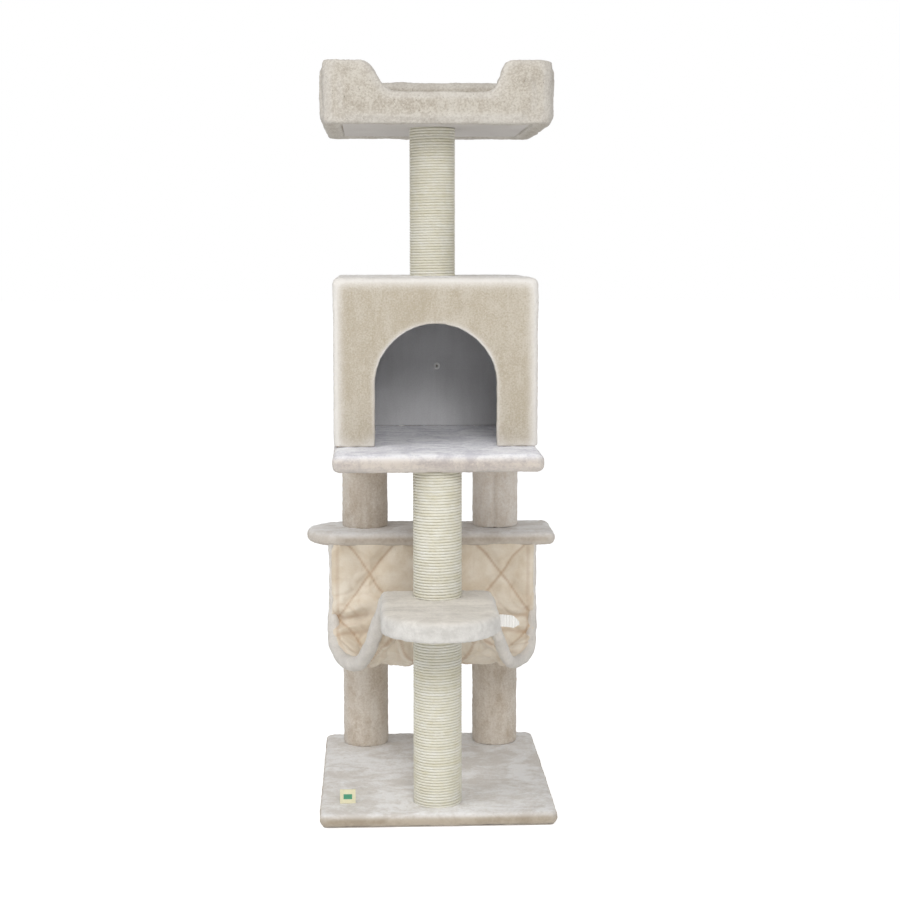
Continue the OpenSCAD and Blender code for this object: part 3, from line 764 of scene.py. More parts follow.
def label_material(settings, low, high):
    """Woven tape with one plain bar across its middle, and nothing written on it."""
    material, tree, shader = new_material("Woven label")
    made = use_group(tree, weave_group(), {
        "Cloth": settings.label, "Shaded": darker(settings.label, 0.85), "Threads": 900.0,
    })
    split = add_node(tree, "ShaderNodeSeparateXYZ", {0: object_place(tree)})
    middle = [(a + b) / 2 for a, b in zip(low, high)]
    off_x = maths(tree, "ABSOLUTE", maths(tree, "SUBTRACT", split.outputs[0], middle[0]))
    off_z = maths(tree, "ABSOLUTE", maths(tree, "SUBTRACT", split.outputs[2], middle[2]))
    across, up = maths(tree, "LESS_THAN", off_x, 0.0075), maths(tree, "LESS_THAN", off_z, 0.004)
    inside = maths(tree, "MULTIPLY", across, up)
    base = mixed(tree, inside, made["Colour"], settings.label_bar)
    shader.inputs["Roughness"].default_value = 0.7
    join_surface(tree, shader, base, made["Height"], 0.0002, 0.6)
    return material


def zinc_material(base):
    material, tree, shader = new_material("Zinc plating")
    place = object_place(tree)
    rub = noise_at(tree, place, 420.0, 4.0, 0.6)
    cloudy = noise_at(tree, place, 70.0, 2.0, 0.5)
    shader.inputs["Metallic"].default_value = 1.0
    tree.links.new(ranged(tree, rub, 0.3, 0.7, 0.28, 0.5), shader.inputs["Roughness"])
    tint = mixed(tree, cloudy, darker(base, 0.8), base)
    join_surface(tree, shader, tint, rub, 0.0001, 0.4)
    return material


def plastic_material(base):
    material, tree, shader = new_material("Eyelet plastic")
    speck = noise_at(tree, object_place(tree), 900.0, 2.0, 0.6)
    tree.links.new(ranged(tree, speck, 0.3, 0.7, 0.45, 0.6), shader.inputs["Roughness"])
    tint = mixed(tree, speck, darker(base, 0.92), base)
    join_surface(tree, shader, tint, speck, 0.0001, 0.3)
    return material


MATERIALS = {}


def make_materials(scene):
    plush, sling = scene.tree_plush, scene.tree_hammock
    fabric, inside = scene.tree_fabric, scene.tree_structure
    label_low, label_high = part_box("base_label")
    MATERIALS.update(
        light=plush_material(
            "Light plush", plush.light, plush.light_shade, plush.light_side_shade, (26, 40, 40),
            0.06, 0.005, 1.2, 0.45, 0.3),
        base=plush_material(
            "Base plush", plush.light, plush.light_shade, plush.base_side_shade, (22, 42, 40),
            0.08, 0.005, 1.5, 0.4, 0.1),
        wrap=plush_material(
            "Wrap plush", plush.light, plush.light_shade, WRAP_SIDE_SHADE, (30, 40, 30),
            0.07, 0.004, 0.8, 0.6, 0.5),
        # the floor's plush is brightened as painted light for the inside of the house
        floor=plush_material(
            "Floor plush", plush.floor, plush.floor_shade, plush.light_side_shade, (16, 50, 50),
            0.05, 0.004, 1.3, 0.5, 0.2),
        step=plush_material(
            # the step's sides take a cooler painted shade
            "Step plush", plush.step, plush.step_shade, (0.92, 0.95, 1, 1),
            (10, 90, 60), 0.05, 0.004, 1.0, 0.35, 0.2),
        beige=plush_material(
            "Beige plush", plush.beige, plush.beige_shade, (1, 1, 1, 1), (70, 70, 20),
            0.09, 0.003, 0.8, 1.15, 0.8),
        bed=plush_material(
            "Bed plush", plush.bed, plush.bed_shade, (1, 1, 1, 1), (30, 30, 30),
            0.05, 0.004, 0.75, 1.1, 0.26, 0.25, 0.5),
        taupe=plush_material(
            "Taupe plush", plush.taupe, plush.taupe_shade, (1, 1, 1, 1), (50, 50, 12),
            0.05, 0.004, 0.65, 0.45, 0.0, 0.45),
        # a lighter copy of the taupe plush: painted light on the upper right sleeve
        taupe_pale=plush_material(
            "Taupe plush, painted light", colour(252, 247, 240), colour(226, 214, 200), (1, 1, 1, 1),
            (50, 50, 12), 0.05, 0.004, 0.65, 0.45, 0.0, 0.45),
        fleece=fleece_material("Quilted fleece", sling.cream, sling.cream_shade, sling.seam),
        hem=plush_material(
            "Hem fleece", sling.hem, darker(sling.hem, 0.84), (1, 1, 1, 1), (40, 40, 20),
            0.04, 0.004, 0.9, 0.4, 0.0),
        sisal=sisal_material(scene.tree_sisal),
        lining=cloth_material("Grey lining", fabric.lining, fabric.lining_shade, 420.0, 0.0005, 0.25),
        sheet=cloth_material("Underside sheet", fabric.sheet, darker(fabric.sheet, 0.92), 500.0),
        tag=cloth_material("Satin tag", fabric.tag, darker(fabric.tag, 0.92), 900.0, 0.0003),
        label=label_material(fabric, label_low, label_high),
        board=grain_material("Particle board", inside.board, 0.25, 0.75),
        plug=grain_material("Softwood plug", inside.plug, 0.8, 0.2),
        card=grain_material("Kraft tube", inside.card, 0.45, 0.55, 0.85),
        zinc=zinc_material(inside.zinc),
        plastic=plastic_material(fabric.tag),
    )


# ---------------------------------------------------------------- platforms
def padded_box(name, low, high, corner, rim):
    """A board's cover: rounded in plan and along its rims."""
    obj = add_block(name, low, high)
    bevel_edges(obj, is_upright, corner)
    return round_rims(obj, rim)


class TREE_OT_base(bpy.types.Operator):
    """Base cover with its flat underside, the sheet below and the label."""

    bl_idname = "tree.base"
    bl_label = "Base"

    def execute(self, context):
        low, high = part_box("base_cover")
        cover = padded_box("base_plush", low, high, 0.016, 0.009)
        give_pile(cover)
        keep_above(cover, low.z)
        finish_piece(cover, MATERIALS["base"], "plush_light", "base_cover")
        low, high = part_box("base_underside_sheet")
        sheet = add_block("base_bottom_sheet", low, high)
        bevel_edges(sheet, is_upright, 0.010)
        for post in ("front_lower", "back_left_lower", "back_right_lower"):
            drill(sheet, f"{post}_tube", WASHER_HOLE, low, high, 32)
        smooth_by_angle(sheet)
        finish_piece(sheet, MATERIALS["sheet"], "underside_sheet", "base_underside_sheet")
        self.label()
        return {"FINISHED"}

    def label(self):
        """A short woven tape that stands in the pile, bowed, with its top turned over to the back."""
        low, high = corners("base_label")
        middle_x = (low.x + high.x) / 2
        half = (high.x - low.x) / 2
        thickness, turn = 0.0008, 0.0007
        lean = (high.y - low.y - 2 * turn) / (high.z - low.z)
        up = high.z - low.z - turn
        length = up + math.pi * turn + LABEL_TUCK
        clear_selection()
        bpy.ops.mesh.primitive_grid_add(x_subdivisions=24, y_subdivisions=90, size=1)
        label = named(bpy.context.object, "base_woven_label")
        for vertex in label.data.vertices:
            u, run = vertex.co.x * 2, (vertex.co.y + 0.5) * length
            if run < up:
                back, rise = 0.0, run
            elif run < up + math.pi * turn:
                bend = (run - up) / turn
                back, rise = turn * (1 - math.cos(bend)), up + turn * math.sin(bend)
            else:
                back, rise = 2 * turn, up - (run - up - math.pi * turn)
            bow = 0.0009 * (1 - u * u) * rise / up
            ripple = 0.0002 * math.sin(u * 9) * rise / up
            vertex.co = (
                middle_x + u * half, low.y + thickness / 2 + lean * rise + back - bow + ripple, low.z + rise,
            )
        add_modifier(label, "SOLIDIFY", thickness=thickness, offset=0.0)
        smooth_by_angle(label)
        finish_piece(label, MATERIALS["label"], "woven_label", "base_label")


def smooth_by_angle(obj, angle=40):
    activate(obj)
    bpy.ops.object.shade_smooth_by_angle(angle=math.radians(angle))
    return obj


def step_blank(low, high):
    """The step's outline, a straight-sided board with a round nose, pulled up to its height."""
    half = (high.x - low.x) / 2
    radius = (half * half + STEP_NOSE * STEP_NOSE) / (2 * STEP_NOSE)
    middle_x = (low.x + high.x) / 2
    side_y = low.y + STEP_NOSE
    clear_selection()
    bpy.ops.mesh.primitive_circle_add(
        vertices=128, radius=radius, fill_type="NGON", location=(middle_x, low.y + radius, low.z)
    )
    obj = settle(named(bpy.context.object, "step_plush"))
    edit(obj)
    bpy.ops.mesh.select_all(action="SELECT")
    bpy.ops.mesh.bisect(
        plane_co=(middle_x, side_y, low.z), plane_no=(0, 1, 0), clear_outer=True, use_fill=False
    )
    mesh = bmesh.from_edit_mesh(obj.data)
    bpy.ops.mesh.select_all(action="DESELECT")
    for edge in mesh.edges:
        edge.select_set(all(abs(v.co.y - side_y) < 1e-4 for v in edge.verts))
    bpy.ops.mesh.extrude_region_move(TRANSFORM_OT_translate={"value": (0, high.y - side_y, 0)})
    bpy.ops.mesh.select_all(action="SELECT")
    bpy.ops.mesh.extrude_region_move(TRANSFORM_OT_translate={"value": (0, 0, high.z - low.z)})
    bpy.ops.mesh.select_all(action="SELECT")
    bpy.ops.mesh.remove_doubles(threshold=0.0001)
    bpy.ops.mesh.normals_make_consistent(inside=False)
    close_edit(obj)
    return obj


class TREE_OT_platforms(bpy.types.Operator):
    """Step, shelf and house floor in plush."""

    bl_idname = "tree.platforms"
    bl_label = "Step, shelf and house floor"

    def execute(self, context):
        low, high = corners("step_cover")
        step = step_blank(low, high)
        bevel_edges(step, lambda e: is_upright(e) and e.verts[0].co.y > high.y - 0.001, 0.012)
        round_rims(step, 0.010, 5)
        give_pile(step, tuft=1.2)
        finish_piece(step, MATERIALS["step"], "plush_light", "step_cover")

        low, high = corners("shelf_cover")
        shelf = add_block("shelf_plush", low, high)
        round_end = (high.y - low.y) / 2 - 0.0005
        bevel_edges(shelf, lambda e: is_upright(e) and e.verts[0].co.x < 0, round_end, 24)
        bevel_edges(shelf, lambda e: is_upright(e) and e.verts[0].co.x > high.x - 0.001, 0.018)
        round_rims(shelf, 0.0105, 5)
        give_pile(shelf)
        finish_piece(shelf, MATERIALS["light"], "plush_light", "shelf_cover")

        low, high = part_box("floor_cover")
        floor = padded_box("house_floor_plush", low, high, 0.014, 0.012)
        give_pile(floor)
        finish_piece(floor, MATERIALS["floor"], "plush_light", "floor_cover")
        return {"FINISHED"}


# ---------------------------------------------------------------- posts
def rope_uv(mesh, sides, turn_steps, turn_length):
    """UV along the rope: U once round it, V in metres along it."""
    layer = mesh.uv_layers.new(name="along_rope")
    for face in mesh.polygons:
        corners = [(mesh.loops[i].vertex_index, i) for i in face.loop_indices]
        rings = [v // sides for v, _ in corners]
        places = [v % sides for v, _ in corners]
        wraps = max(places) - min(places) > sides / 2
        for (_, loop), ring, place in zip(corners, rings, places):
            turn = 1.0 if wraps and place == 0 else place / sides
            layer.data[loop].uv = (turn, ring * turn_length / turn_steps)


class TREE_OT_sisal(bpy.types.Operator):
    """Sisal rope wound round the front post and the top post."""

    bl_idname = "tree.sisal"
    bl_label = "Sisal winding"

    def execute(self, context):
        settings = context.scene.tree_sisal
        sides = 8
        for post in POST_NAMES:
            low, high = corners(f"{post}_sisal")
            centre = (low + high) / 2
            tube_low, tube_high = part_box(f"{post}_tube")
            outer = (high.x - low.x) / 2 + 0.0002
            inner = (tube_high[0] - tube_low[0]) / 2
            rope = (outer - inner) / 2
            turns = round((high.z - low.z) / settings.pitch) + 1
            pitch = (high.z - low.z - 2 * rope) / (turns - 2)
            clear_selection()
            bpy.ops.mesh.primitive_circle_add(
                vertices=sides, radius=rope * 1.03, location=(outer - rope, 0, 0),
                rotation=(math.pi / 2, 0, 0),
            )
            coil = settle(named(bpy.context.object, f"{post}_rope"))
            add_modifier(
                coil, "SCREW", angle=math.tau, screw_offset=pitch, iterations=turns,
                steps=settings.steps, render_steps=settings.steps, use_normal_calculate=True,
                use_merge_vertices=False,
            )
            turn_length = math.hypot(math.tau * (outer - rope), pitch)
            rope_uv(coil.data, sides, settings.steps, turn_length)
            edit(coil)
            bpy.ops.mesh.select_non_manifold()
            bpy.ops.mesh.fill_holes(sides=sides)
            bpy.ops.mesh.select_all(action="SELECT")
            bpy.ops.mesh.normals_make_consistent(inside=False)
            close_edit(coil)
            coil.location = (centre.x, centre.y, low.z + rope - pitch)
            settle(coil)
            for vertex in coil.data.vertices:
                slack = noise.noise(vertex.co * 45.0) * 0.00025
                outward = Vector((vertex.co.x - centre.x, vertex.co.y - centre.y, 0)).normalized()
                vertex.co += outward * slack
                # the first and last turns are pressed flat at the winding's ends
                vertex.co.z = min(max(vertex.co.z, low.z + 0.0002), high.z - 0.0002)
            # groove: how far a point lies towards the inside of the rope, for painted shade in the gaps
            # between turns
            middle = outer - rope
            reach = [math.hypot(v.co.x - centre.x, v.co.y - centre.y) for v in coil.data.vertices]
            store(coil, "groove", [min(1.0, max(0.0, 0.75 - (r - middle) / rope)) for r in reach])
            smooth_shading(coil)
            finish_piece(coil, MATERIALS["sisal"], "sisal_rope", f"{post}_sisal")
        return {"FINISHED"}


class TREE_OT_rear_posts(bpy.types.Operator):
    """Plush sleeves of the rear posts, each with its sewn seam."""

    bl_idname = "tree.rear_posts"
    bl_label = "Rear post sleeves"

    def execute(self, context):
        for post in REAR_NAMES:
            low, high = corners(f"{post}_sleeve")
            centre = (low + high) / 2
            radius = (high.x - low.x) / 2
            tube_low, tube_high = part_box(f"{post}_tube")
            sleeve = add_post(f"{post}_plush", (centre.x, centre.y), radius, low.z, high.z)
            drill(sleeve, f"{post}_tube", (tube_high[0] - tube_low[0]) / 2, low, high, 96)
            give_pile(sleeve, 0.003, lump=0.9, soften=1)
            self.sew(sleeve, centre, post)
            # the upper right sleeve takes the lighter copy, painted light
            look = "taupe_pale" if post == "back_right_upper" else "taupe"
            finish_piece(sleeve, MATERIALS[look], "plush_taupe", f"{post}_sleeve")
        return {"FINISHED"}

    def sew(self, sleeve, centre, post):
        """Draws the pile in along the seam: in front on the upper right post, behind on the rest."""
        facing = -1 if post == "back_right_upper" else 1
        for vertex in sleeve.data.vertices:
            away = Vector((vertex.co.x - centre.x, vertex.co.y - centre.y))
            if away.length < 0.039 or away.y * facing < 0:
                continue
            wander = noise.noise(Vector((0, 0, vertex.co.z * 22))) * 0.003
            across = away.x - 0.004 * facing - wander
            draw = 0.0042 * math.exp(-((across / 0.0035) ** 2))
            vertex.co.x -= away.x / away.length * draw
            vertex.co.y -= away.y / away.length * draw


# ---------------------------------------------------------------- house
def arch_cutter(low_z, spring_z, radius, y0, y1):
    """The doorway's space: a block up to the spring line and a round top."""
    block = add_block("doorway", (-radius, y0, low_z - 0.02), (radius, y1, spring_z))
    clear_selection()
    bpy.ops.mesh.primitive_cylinder_add(
        vertices=96, radius=radius, depth=y1 - y0, location=(0, (y0 + y1) / 2, spring_z),
        rotation=(math.pi / 2, 0, 0),
    )
    top = settle(named(bpy.context.object, "doorway_top"))
    return combine(block, top, "UNION")


class TREE_OT_house(bpy.types.Operator):
    """Plush outside of the house: front with its doorway, sides with the top, and back."""

    bl_idname = "tree.house"
    bl_label = "House covers"

    def execute(self, context):
        front_low = Vector(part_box("house_front_cover")[0])
        wrap_low, wrap_high = corners("house_wrap_cover")
        back_low, back_high = corners("house_back_cover")
        inner = Vector(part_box("house_front_panel")[1])
        shell = self.shell(front_low, back_high, inner.x, inner.z, wrap_low.y, wrap_high.y)
        spring = front_low.z + DOOR_SPRING
        lap = front_low.y + FRONT_LAP
        # front: the capped end of the shell, with its doorway rolled inwards
        front = self.slab("house_front_plush", shell, front_low.y - 0.02, lap)
        opening = arch_cutter(front_low.z, spring, DOOR_RADIUS + 0.004, front_low.y - 0.05, lap + 0.05)
        combine(front, opening)
        combine(front, self.collar(front_low, spring), "UNION")
        wrap = self.slab("house_wrap_plush", shell, lap, back_low.y)
        back = self.slab("house_back_plush", shell, back_low.y, back_high.y + 0.02)
        # the back isn't cut: its pile lies across the anchor's small bore, inside the eyelet's ring
        bpy.data.objects.remove(shell)
        for obj, node, look, slot in (
            (front, "house_front_cover", "beige", "plush_beige"),
            (wrap, "house_wrap_cover", "wrap", "plush_light"),
            (back, "house_back_cover", "wrap", "plush_light"),
        ):
            give_pile(obj, 0.0024, lump=0.9, tuft=0.8, soften=3, sheen_spread=40)
            keep_above(obj, front_low.z)
            finish_piece(obj, MATERIALS[look], slot, node)
        return {"FINISHED"}

    def shell(self, low, high, inner_x, inner_z, inner_y0, inner_y1):
        """The whole house as one hollow box with rounded outer edges."""
        obj = add_block("house_shell", low, high)
        bottom = low.z + 1e-4
        bevel_edges(obj, lambda e: any(v.co.z > bottom for v in e.verts), 0.0105, 6)
        hollow = add_block(
            "hollow", (-inner_x, inner_y0, low.z - 0.02), (inner_x, inner_y1, inner_z)
        )
        return combine(obj, hollow)

    def slab(self, name, shell, y0, y1):
        """The stretch of the shell between two depths."""
        piece = shell.copy()
        piece.data = shell.data.copy()
        bpy.context.scene.collection.objects.link(piece)
        named(piece, name)
        keep = add_block("keep", (-0.4, y0, 0), (0.4, y1, 2))
        return combine(piece, keep, "INTERSECT")

    def collar(self, low, spring):
        """Plush rolled round the doorway's edge, from the face back to the lining."""
        y0, y1 = low.y, low.y + 0.017
        outer = arch_cutter(low.z + 0.02, spring, DOOR_RADIUS + 0.0042, y0, y1)
        return combine(outer, arch_cutter(low.z, spring, DOOR_RADIUS, y0 - 0.01, y1 + 0.01))


class TREE_OT_lining(bpy.types.Operator):
    """Thin grey cloth on the five inner faces of the house."""

    bl_idname = "tree.lining"
    bl_label = "House lining"

    def execute(self, context):
        for side in ("back", "left", "right", "top", "front"):
            node = f"house_{side}_lining"
            low, high = corners(node)
            cloth = add_block(f"house_{side}_cloth", low, high)
            if side == "front":
                spring = low.z + DOOR_SPRING
                combine(cloth, arch_cutter(low.z, spring, DOOR_RADIUS + 0.004, low.y - 0.02, high.y + 0.02))
            if side == "back":
                bore_low, bore_high = corners("wall_anchor_grommet")
                bore = (bore_low + bore_high) / 2
                clear_selection()
                bpy.ops.mesh.primitive_cylinder_add(
                    vertices=32, radius=0.0045, depth=0.06, location=(bore.x, low.y, bore.z),
                    rotation=(math.pi / 2, 0, 0),
                )
                combine(cloth, settle(bpy.context.object))
            if side == "top":
                drill(cloth, "top_tube", BOLT_HOLE, low, high, 24)
            add_modifier(cloth, "REMESH", mode="VOXEL", voxel_size=CLOTH_VOXEL)
            displace(cloth, cloud("cloth waves", 0.06, 2), 0.0006)
            smooth_shading(cloth)
            finish_piece(cloth, MATERIALS["lining"], "grey_lining", node)
        dress("wall_anchor_grommet", MATERIALS["plastic"])
        return {"FINISHED"}


# ---------------------------------------------------------------- bed
class TREE_OT_bed(bpy.types.Operator):
    """Bed: padded walls with a dipped front, plush floor and the sheet underneath."""

    bl_idname = "tree.bed"
    bl_label = "Bed"

    def execute(self, context):
        low, high = corners("bed_wall_cover")
        inner_low, inner_high = corners("bed_floor_cover")
        ring = add_block("bed_walls_plush", low, high)
        bevel_edges(ring, is_upright, 0.026, 8)
        basin = add_block("basin", (inner_low.x, inner_low.y, low.z - 0.05),
                          (inner_high.x, inner_high.y, high.z + 0.05))
        bevel_edges(basin, is_upright, 0.010, 5)
        combine(ring, basin)
        combine(ring, self.dip(low, high))
        round_rims(ring, 0.013, 5, 40)
        give_pile(ring, 0.0045, lump=1.6, tuft=1.1, soften=8, swell=0.004, sheen_spread=22)
        finish_piece(ring, MATERIALS["bed"], "plush_beige", "bed_wall_cover")

        low, high = inner_low, inner_high
        floor = add_block("bed_floor_plush", low, high)
        drill(floor, "top_tube", WASHER_HOLE, low, high, 32)
        give_pile(floor, 0.003, soften=1)
        keep_above(floor, low.z)
        finish_piece(floor, MATERIALS["light"], "plush_light", "bed_floor_cover")

        low, high = corners("bed_underside_sheet")
        sheet = add_block("bed_bottom_cloth", low, high)
        drill(sheet, "top_tube", BOLT_HOLE, low, high, 24)
        add_modifier(sheet, "REMESH", mode="VOXEL", voxel_size=CLOTH_VOXEL)
        displace(sheet, cloud("cloth waves", 0.06, 2), 0.0008)
        smooth_shading(sheet)
        finish_piece(sheet, MATERIALS["sheet"], "underside_sheet", "bed_underside_sheet")
        return {"FINISHED"}

    def dip(self, low, high):
        """The space over the front wall's low edge, between two soft shoulders."""
        low_z = low.z + LOW_EDGE
        left_high, left_low, right_low, right_high = SHOULDERS
        steps = 14
        rise = [(1 - math.cos(math.pi * i / steps)) / 2 for i in range(steps + 1)]
        outline = [
            (left_high + (left_low - left_high) * i / steps, high.z + (low_z - high.z) * t)
            for i, t in enumerate(rise)
        ]
        outline += [
            (right_low + (right_high - right_low) * i / steps, low_z + (high.z - low_z) * t)
            for i, t in enumerate(rise)
        ]
        outline += [(right_high + 0.002, high.z + 0.05), (left_high - 0.002, high.z + 0.05)]
        mesh = bpy.data.meshes.new("dip")
        mesh.from_pydata([(x, low.y - 0.03, z) for x, z in outline], [], [list(range(len(outline)))])
        obj = bpy.data.objects.new("dip", mesh)
        bpy.context.scene.collection.objects.link(obj)
        edit(obj)
        bpy.ops.mesh.select_all(action="SELECT")
        bpy.ops.mesh.extrude_region_move(TRANSFORM_OT_translate={"value": (0, 0.075, 0)})
        bpy.ops.mesh.select_all(action="SELECT")
        bpy.ops.mesh.normals_make_consistent(inside=False)
        close_edit(obj)
        return obj


# ---------------------------------------------------------------- hammock
def smooth_between(keys, value):
    """Value along a row of (place, value) keys, eased between each two."""
    if value >= keys[0][0]:
        return keys[0][1]
    for (a, first), (b, second) in zip(keys, keys[1:]):
        if value >= b:
            t = (a - value) / (a - b)
            return first + (second - first) * t
    return keys[-1][1]


class Sling:
    """The hammock's run: down from the shelf, round the bottom and up to the step."""

    def __init__(self, settings):
        low, high = corners("hammock_left_hem")
        right = Vector(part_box("hammock_right_hem")[1])
        hem = settings.hem_thickness
        self.bend = settings.bend
        self.rear = high.y - hem / 2
        self.top = high.z
        self.centre = Vector((self.rear - self.bend, low.z + hem / 2 + self.bend))
        self.end = Vector((low.y + 0.004, Vector(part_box("step_cover")[0]).z + 0.018))
        self.middle_x = (low.x + right.x) / 2
        self.half = (right.x - low.x) / 2
        away = self.end - self.centre
        self.angle = math.atan2(away.y, away.x) + math.acos(self.bend / away.length)
        self.sweep = math.tau - self.angle
        self.touch = self.centre + self.bend * Vector((math.cos(self.angle), math.sin(self.angle)))
        self.drop = self.top - self.centre.y
        self.arc = self.bend * self.sweep
        self.rise = (self.end - self.touch).length
        self.length = self.drop + self.arc + self.rise
        # half width of the cloth from the shelf's side to the step's side
        self.widths = [
            (0.145, self.half), (0.100, self.half * 0.995), (0.070, self.half * 0.965),
            (0.025, self.half * 0.82), (-0.045, self.half * 0.64), (-0.127, self.half * 0.48),
        ]

    def at(self, s):
        """(point, outward normal) in the YZ plane after a run of s."""
        if s <= self.drop:
            return Vector((self.rear, self.top - s)), Vector((1, 0))
        if s <= self.drop + self.arc:
            turn = -(s - self.drop) / self.bend
            out = Vector((math.cos(turn), math.sin(turn)))
            return self.centre + self.bend * out, out
        t = (s - self.drop - self.arc) / self.rise
        out = Vector((math.cos(self.angle), math.sin(self.angle)))
        return self.touch.lerp(self.end, min(t, 1)), out

    def width(self, s):
        # averaged over a short stretch, so the edge runs in one smooth curve
        total = 0.0
        for k in range(-3, 4):
            place, _ = self.at(min(max(s + k * 0.009, 0), self.length))
            total += smooth_between(self.widths, place.x)
        return total / 7

    def point(self, u, s, out=0.0):
        """Point at u from -1 to 1 across, s along, and out of the cloth's middle."""
        place, normal = self.at(min(s, self.length))
        y, z = place + normal * out
        return Vector((self.middle_x + u * self.width(s), y, z))


# how far the sling's rear edge is tucked up into the shelf's pile
TUCK = 0.004


class TREE_OT_hammock(bpy.types.Operator):
    """Hammock: quilted cloth, rolled side hems and the blank tag."""

    bl_idname = "tree.hammock"
    bl_label = "Hammock"

    def execute(self, context):
        settings = context.scene.tree_hammock
        sling = Sling(settings)
        cloth = self.cloth(sling, settings)
        hems = [self.hem(sling, settings, side) for side in (-1, 1)]
        tag = self.tag()
        dress("hammock_screws", MATERIALS["zinc"])
        dress("hammock_washers", MATERIALS["zinc"])
        return {"FINISHED"}

    def cloth(self, sling, settings):
        """The quilted cloth: diamonds puffed up between stitched channels, and the folds of its sag, with
        painted shade in the channels, creases and under the rolls.
        """
        clear_selection()
        bpy.ops.mesh.primitive_grid_add(x_subdivisions=120, y_subdivisions=160, size=1)
        quilt = named(bpy.context.object, "hammock_quilt")
        seam_shade, fixed = [], []
        inset = settings.hem_thickness * 0.35 / sling.half
        half_turn = sling.drop + sling.arc * 0.5
        for vertex in quilt.data.vertices:
            u = vertex.co.x * 2 * (1 - inset)
            s = (0.5 - vertex.co.y) * (sling.length + TUCK) - TUCK
            x = u * sling.half
            drift = noise.noise(Vector((x * 20, s * 20, 4.0))) * 0.011
            gaps = []
            for start, slope in ((-0.160, -0.76), (-0.078, 0.76)):
                run = (x - start + slope * s + drift) / settings.diamond
                gaps.append(abs(run - round(run)) * settings.diamond * 0.8)
            gap = min(gaps)
            groove = math.exp(-((gap / 0.0045) ** 2))
            puffed = 1 - math.exp(-((gap / 0.013) ** 2))
            # puckers across the stitching, and long folds that gather in the sling's bottom
            pucker = math.sin((x + s) * 420 + drift * 300) * 0.0007 * math.exp(-((gap / 0.01) ** 2))
            wave = noise.noise(Vector((x * 24, s * 15, 0.3))) * 0.0045
            gather = math.exp(-(((s - half_turn) / 0.07) ** 2))
            fold = math.sin(x * 95 + noise.noise(Vector((x * 9, s * 9, 7.0))) * 5) * 0.0032 * gather
            side = min(1.0, (1 - abs(u)) * sling.half / 0.02)
            out = -(0.1 + 0.9 * puffed) * settings.thickness * 0.8
            free = min(1.0, max(0.0, s) / 0.03) * min(1.0, (sling.length - s) / 0.03)
            out += (wave + pucker + fold) * free
            # the slack lies in soft rolls inside the lower corners
            corner = math.exp(-(((abs(u) - 0.80) / 0.2) ** 2))
            roll_shadow = 0.0
            for lift, at, wide in ((0.017, -0.014, 0.013), (0.011, 0.024, 0.011)):
                bend = 0.022 * (abs(u) - 0.8) + 0.006 * noise.noise(Vector((x * 30, at * 90, 1.0)))
                roll = (s - sling.drop - at - bend) / wide
                out -= lift * corner * math.exp(-(roll ** 2))
                # painted shadow: a dark line just under each roll
                roll_shadow += corner * math.exp(-(((roll - 1.25) / 0.3) ** 2))
            # creases: thin valleys, most of them towards the lower corners, also darkened with painted shade
            winding = noise.noise(Vector((x * 23 + s * 7, s * 29 - x * 11, 9.0)))
            low = min(1.0, max(0.0, (s - sling.drop * 0.4) / (sling.drop * 0.5)))
            crease = math.exp(-((winding / 0.07) ** 2)) * free
            crease *= 0.25 + 0.75 * low * min(1.0, max(0.0, (abs(u) - 0.35) / 0.4))
            out += 0.0032 * crease
            vertex.co = sling.point(u, s, out)
            # painted shade: the seam colour goes into the channels, beside the hems, into the creases and
            # under the rolls
            line = 0.62 * math.exp(-((gap / 0.0019) ** 2)) * side
            border = math.exp(-(((sling.half * (1 - abs(u)) - 0.019) / 0.0018) ** 2))
            seam_shade.append(min(0.7, line + 0.45 * border + 0.4 * roll_shadow * side + 0.2 * crease))
            edge = 1.0 if side < 0.3 or s < 0.006 or s > sling.length - 0.006 else 0.0
            fixed.append(max(edge, groove))
        store(quilt, "seam", seam_shade)
        held = quilt.vertex_groups.new(name="held")
        for index, weight in enumerate(fixed):
            held.add([index], weight, "REPLACE")
        add_modifier(quilt, "SOLIDIFY", thickness=settings.thickness * 0.5, offset=-1.0)
        edit(quilt)
        bpy.ops.mesh.select_all(action="SELECT")
        bpy.ops.mesh.normals_make_consistent(inside=False)
        close_edit(quilt)
        puff(quilt, 0.004, 3.0, 12, "held")
        add_modifier(quilt, "SUBSURF", levels=1, render_levels=1)
        displace(quilt, cloud("tufts", 0.0065, 1), 0.0007)
        smooth_shading(quilt)
        return finish_piece(quilt, MATERIALS["fleece"], "sling_fleece", "hammock_cloth")

    def hem(self, sling, settings, side):
        """One rolled hem, narrow down the back and fuller round the bottom and up the front."""
        name = "hammock_left_roll" if side < 0 else "hammock_right_roll"
        full = settings.hem_thickness / 2
        steps = 110
        points, radii = [], []
        for i in range(steps + 1):
            s = (sling.length + TUCK) * i / steps - TUCK
            fuller = min(1.0, max(0.0, (s - sling.drop * 0.55) / (sling.arc * 0.6)))
            radius = full * (0.56 + 0.44 * fuller * fuller * (3 - 2 * fuller))
            if side < 0:
                radius *= 1 + 0.22 * fuller
            radius *= 1 + 0.07 * noise.noise(Vector((side, 0, s * 38)))
            place = sling.point(side, s, 0.0012 * noise.noise(Vector((side, 5, s * 30))))
            place.x -= side * full * (0.75 + 0.25 * fuller)
            points.append(place)
            radii.append(radius)
        roll = swept_tube(name, points, radii)
        add_modifier(roll, "REMESH", mode="VOXEL", voxel_size=0.0026)
        displace(roll, cloud("rolled folds", 0.018, 1), 0.003)
        give_pile(roll, 0.0026, lump=1.2, tuft=0.6, soften=2)
        keep_below(roll, sling.top + TUCK)
        node = "hammock_left_hem" if side < 0 else "hammock_right_hem"
        return finish_piece(roll, MATERIALS["hem"], "sling_hem", node)

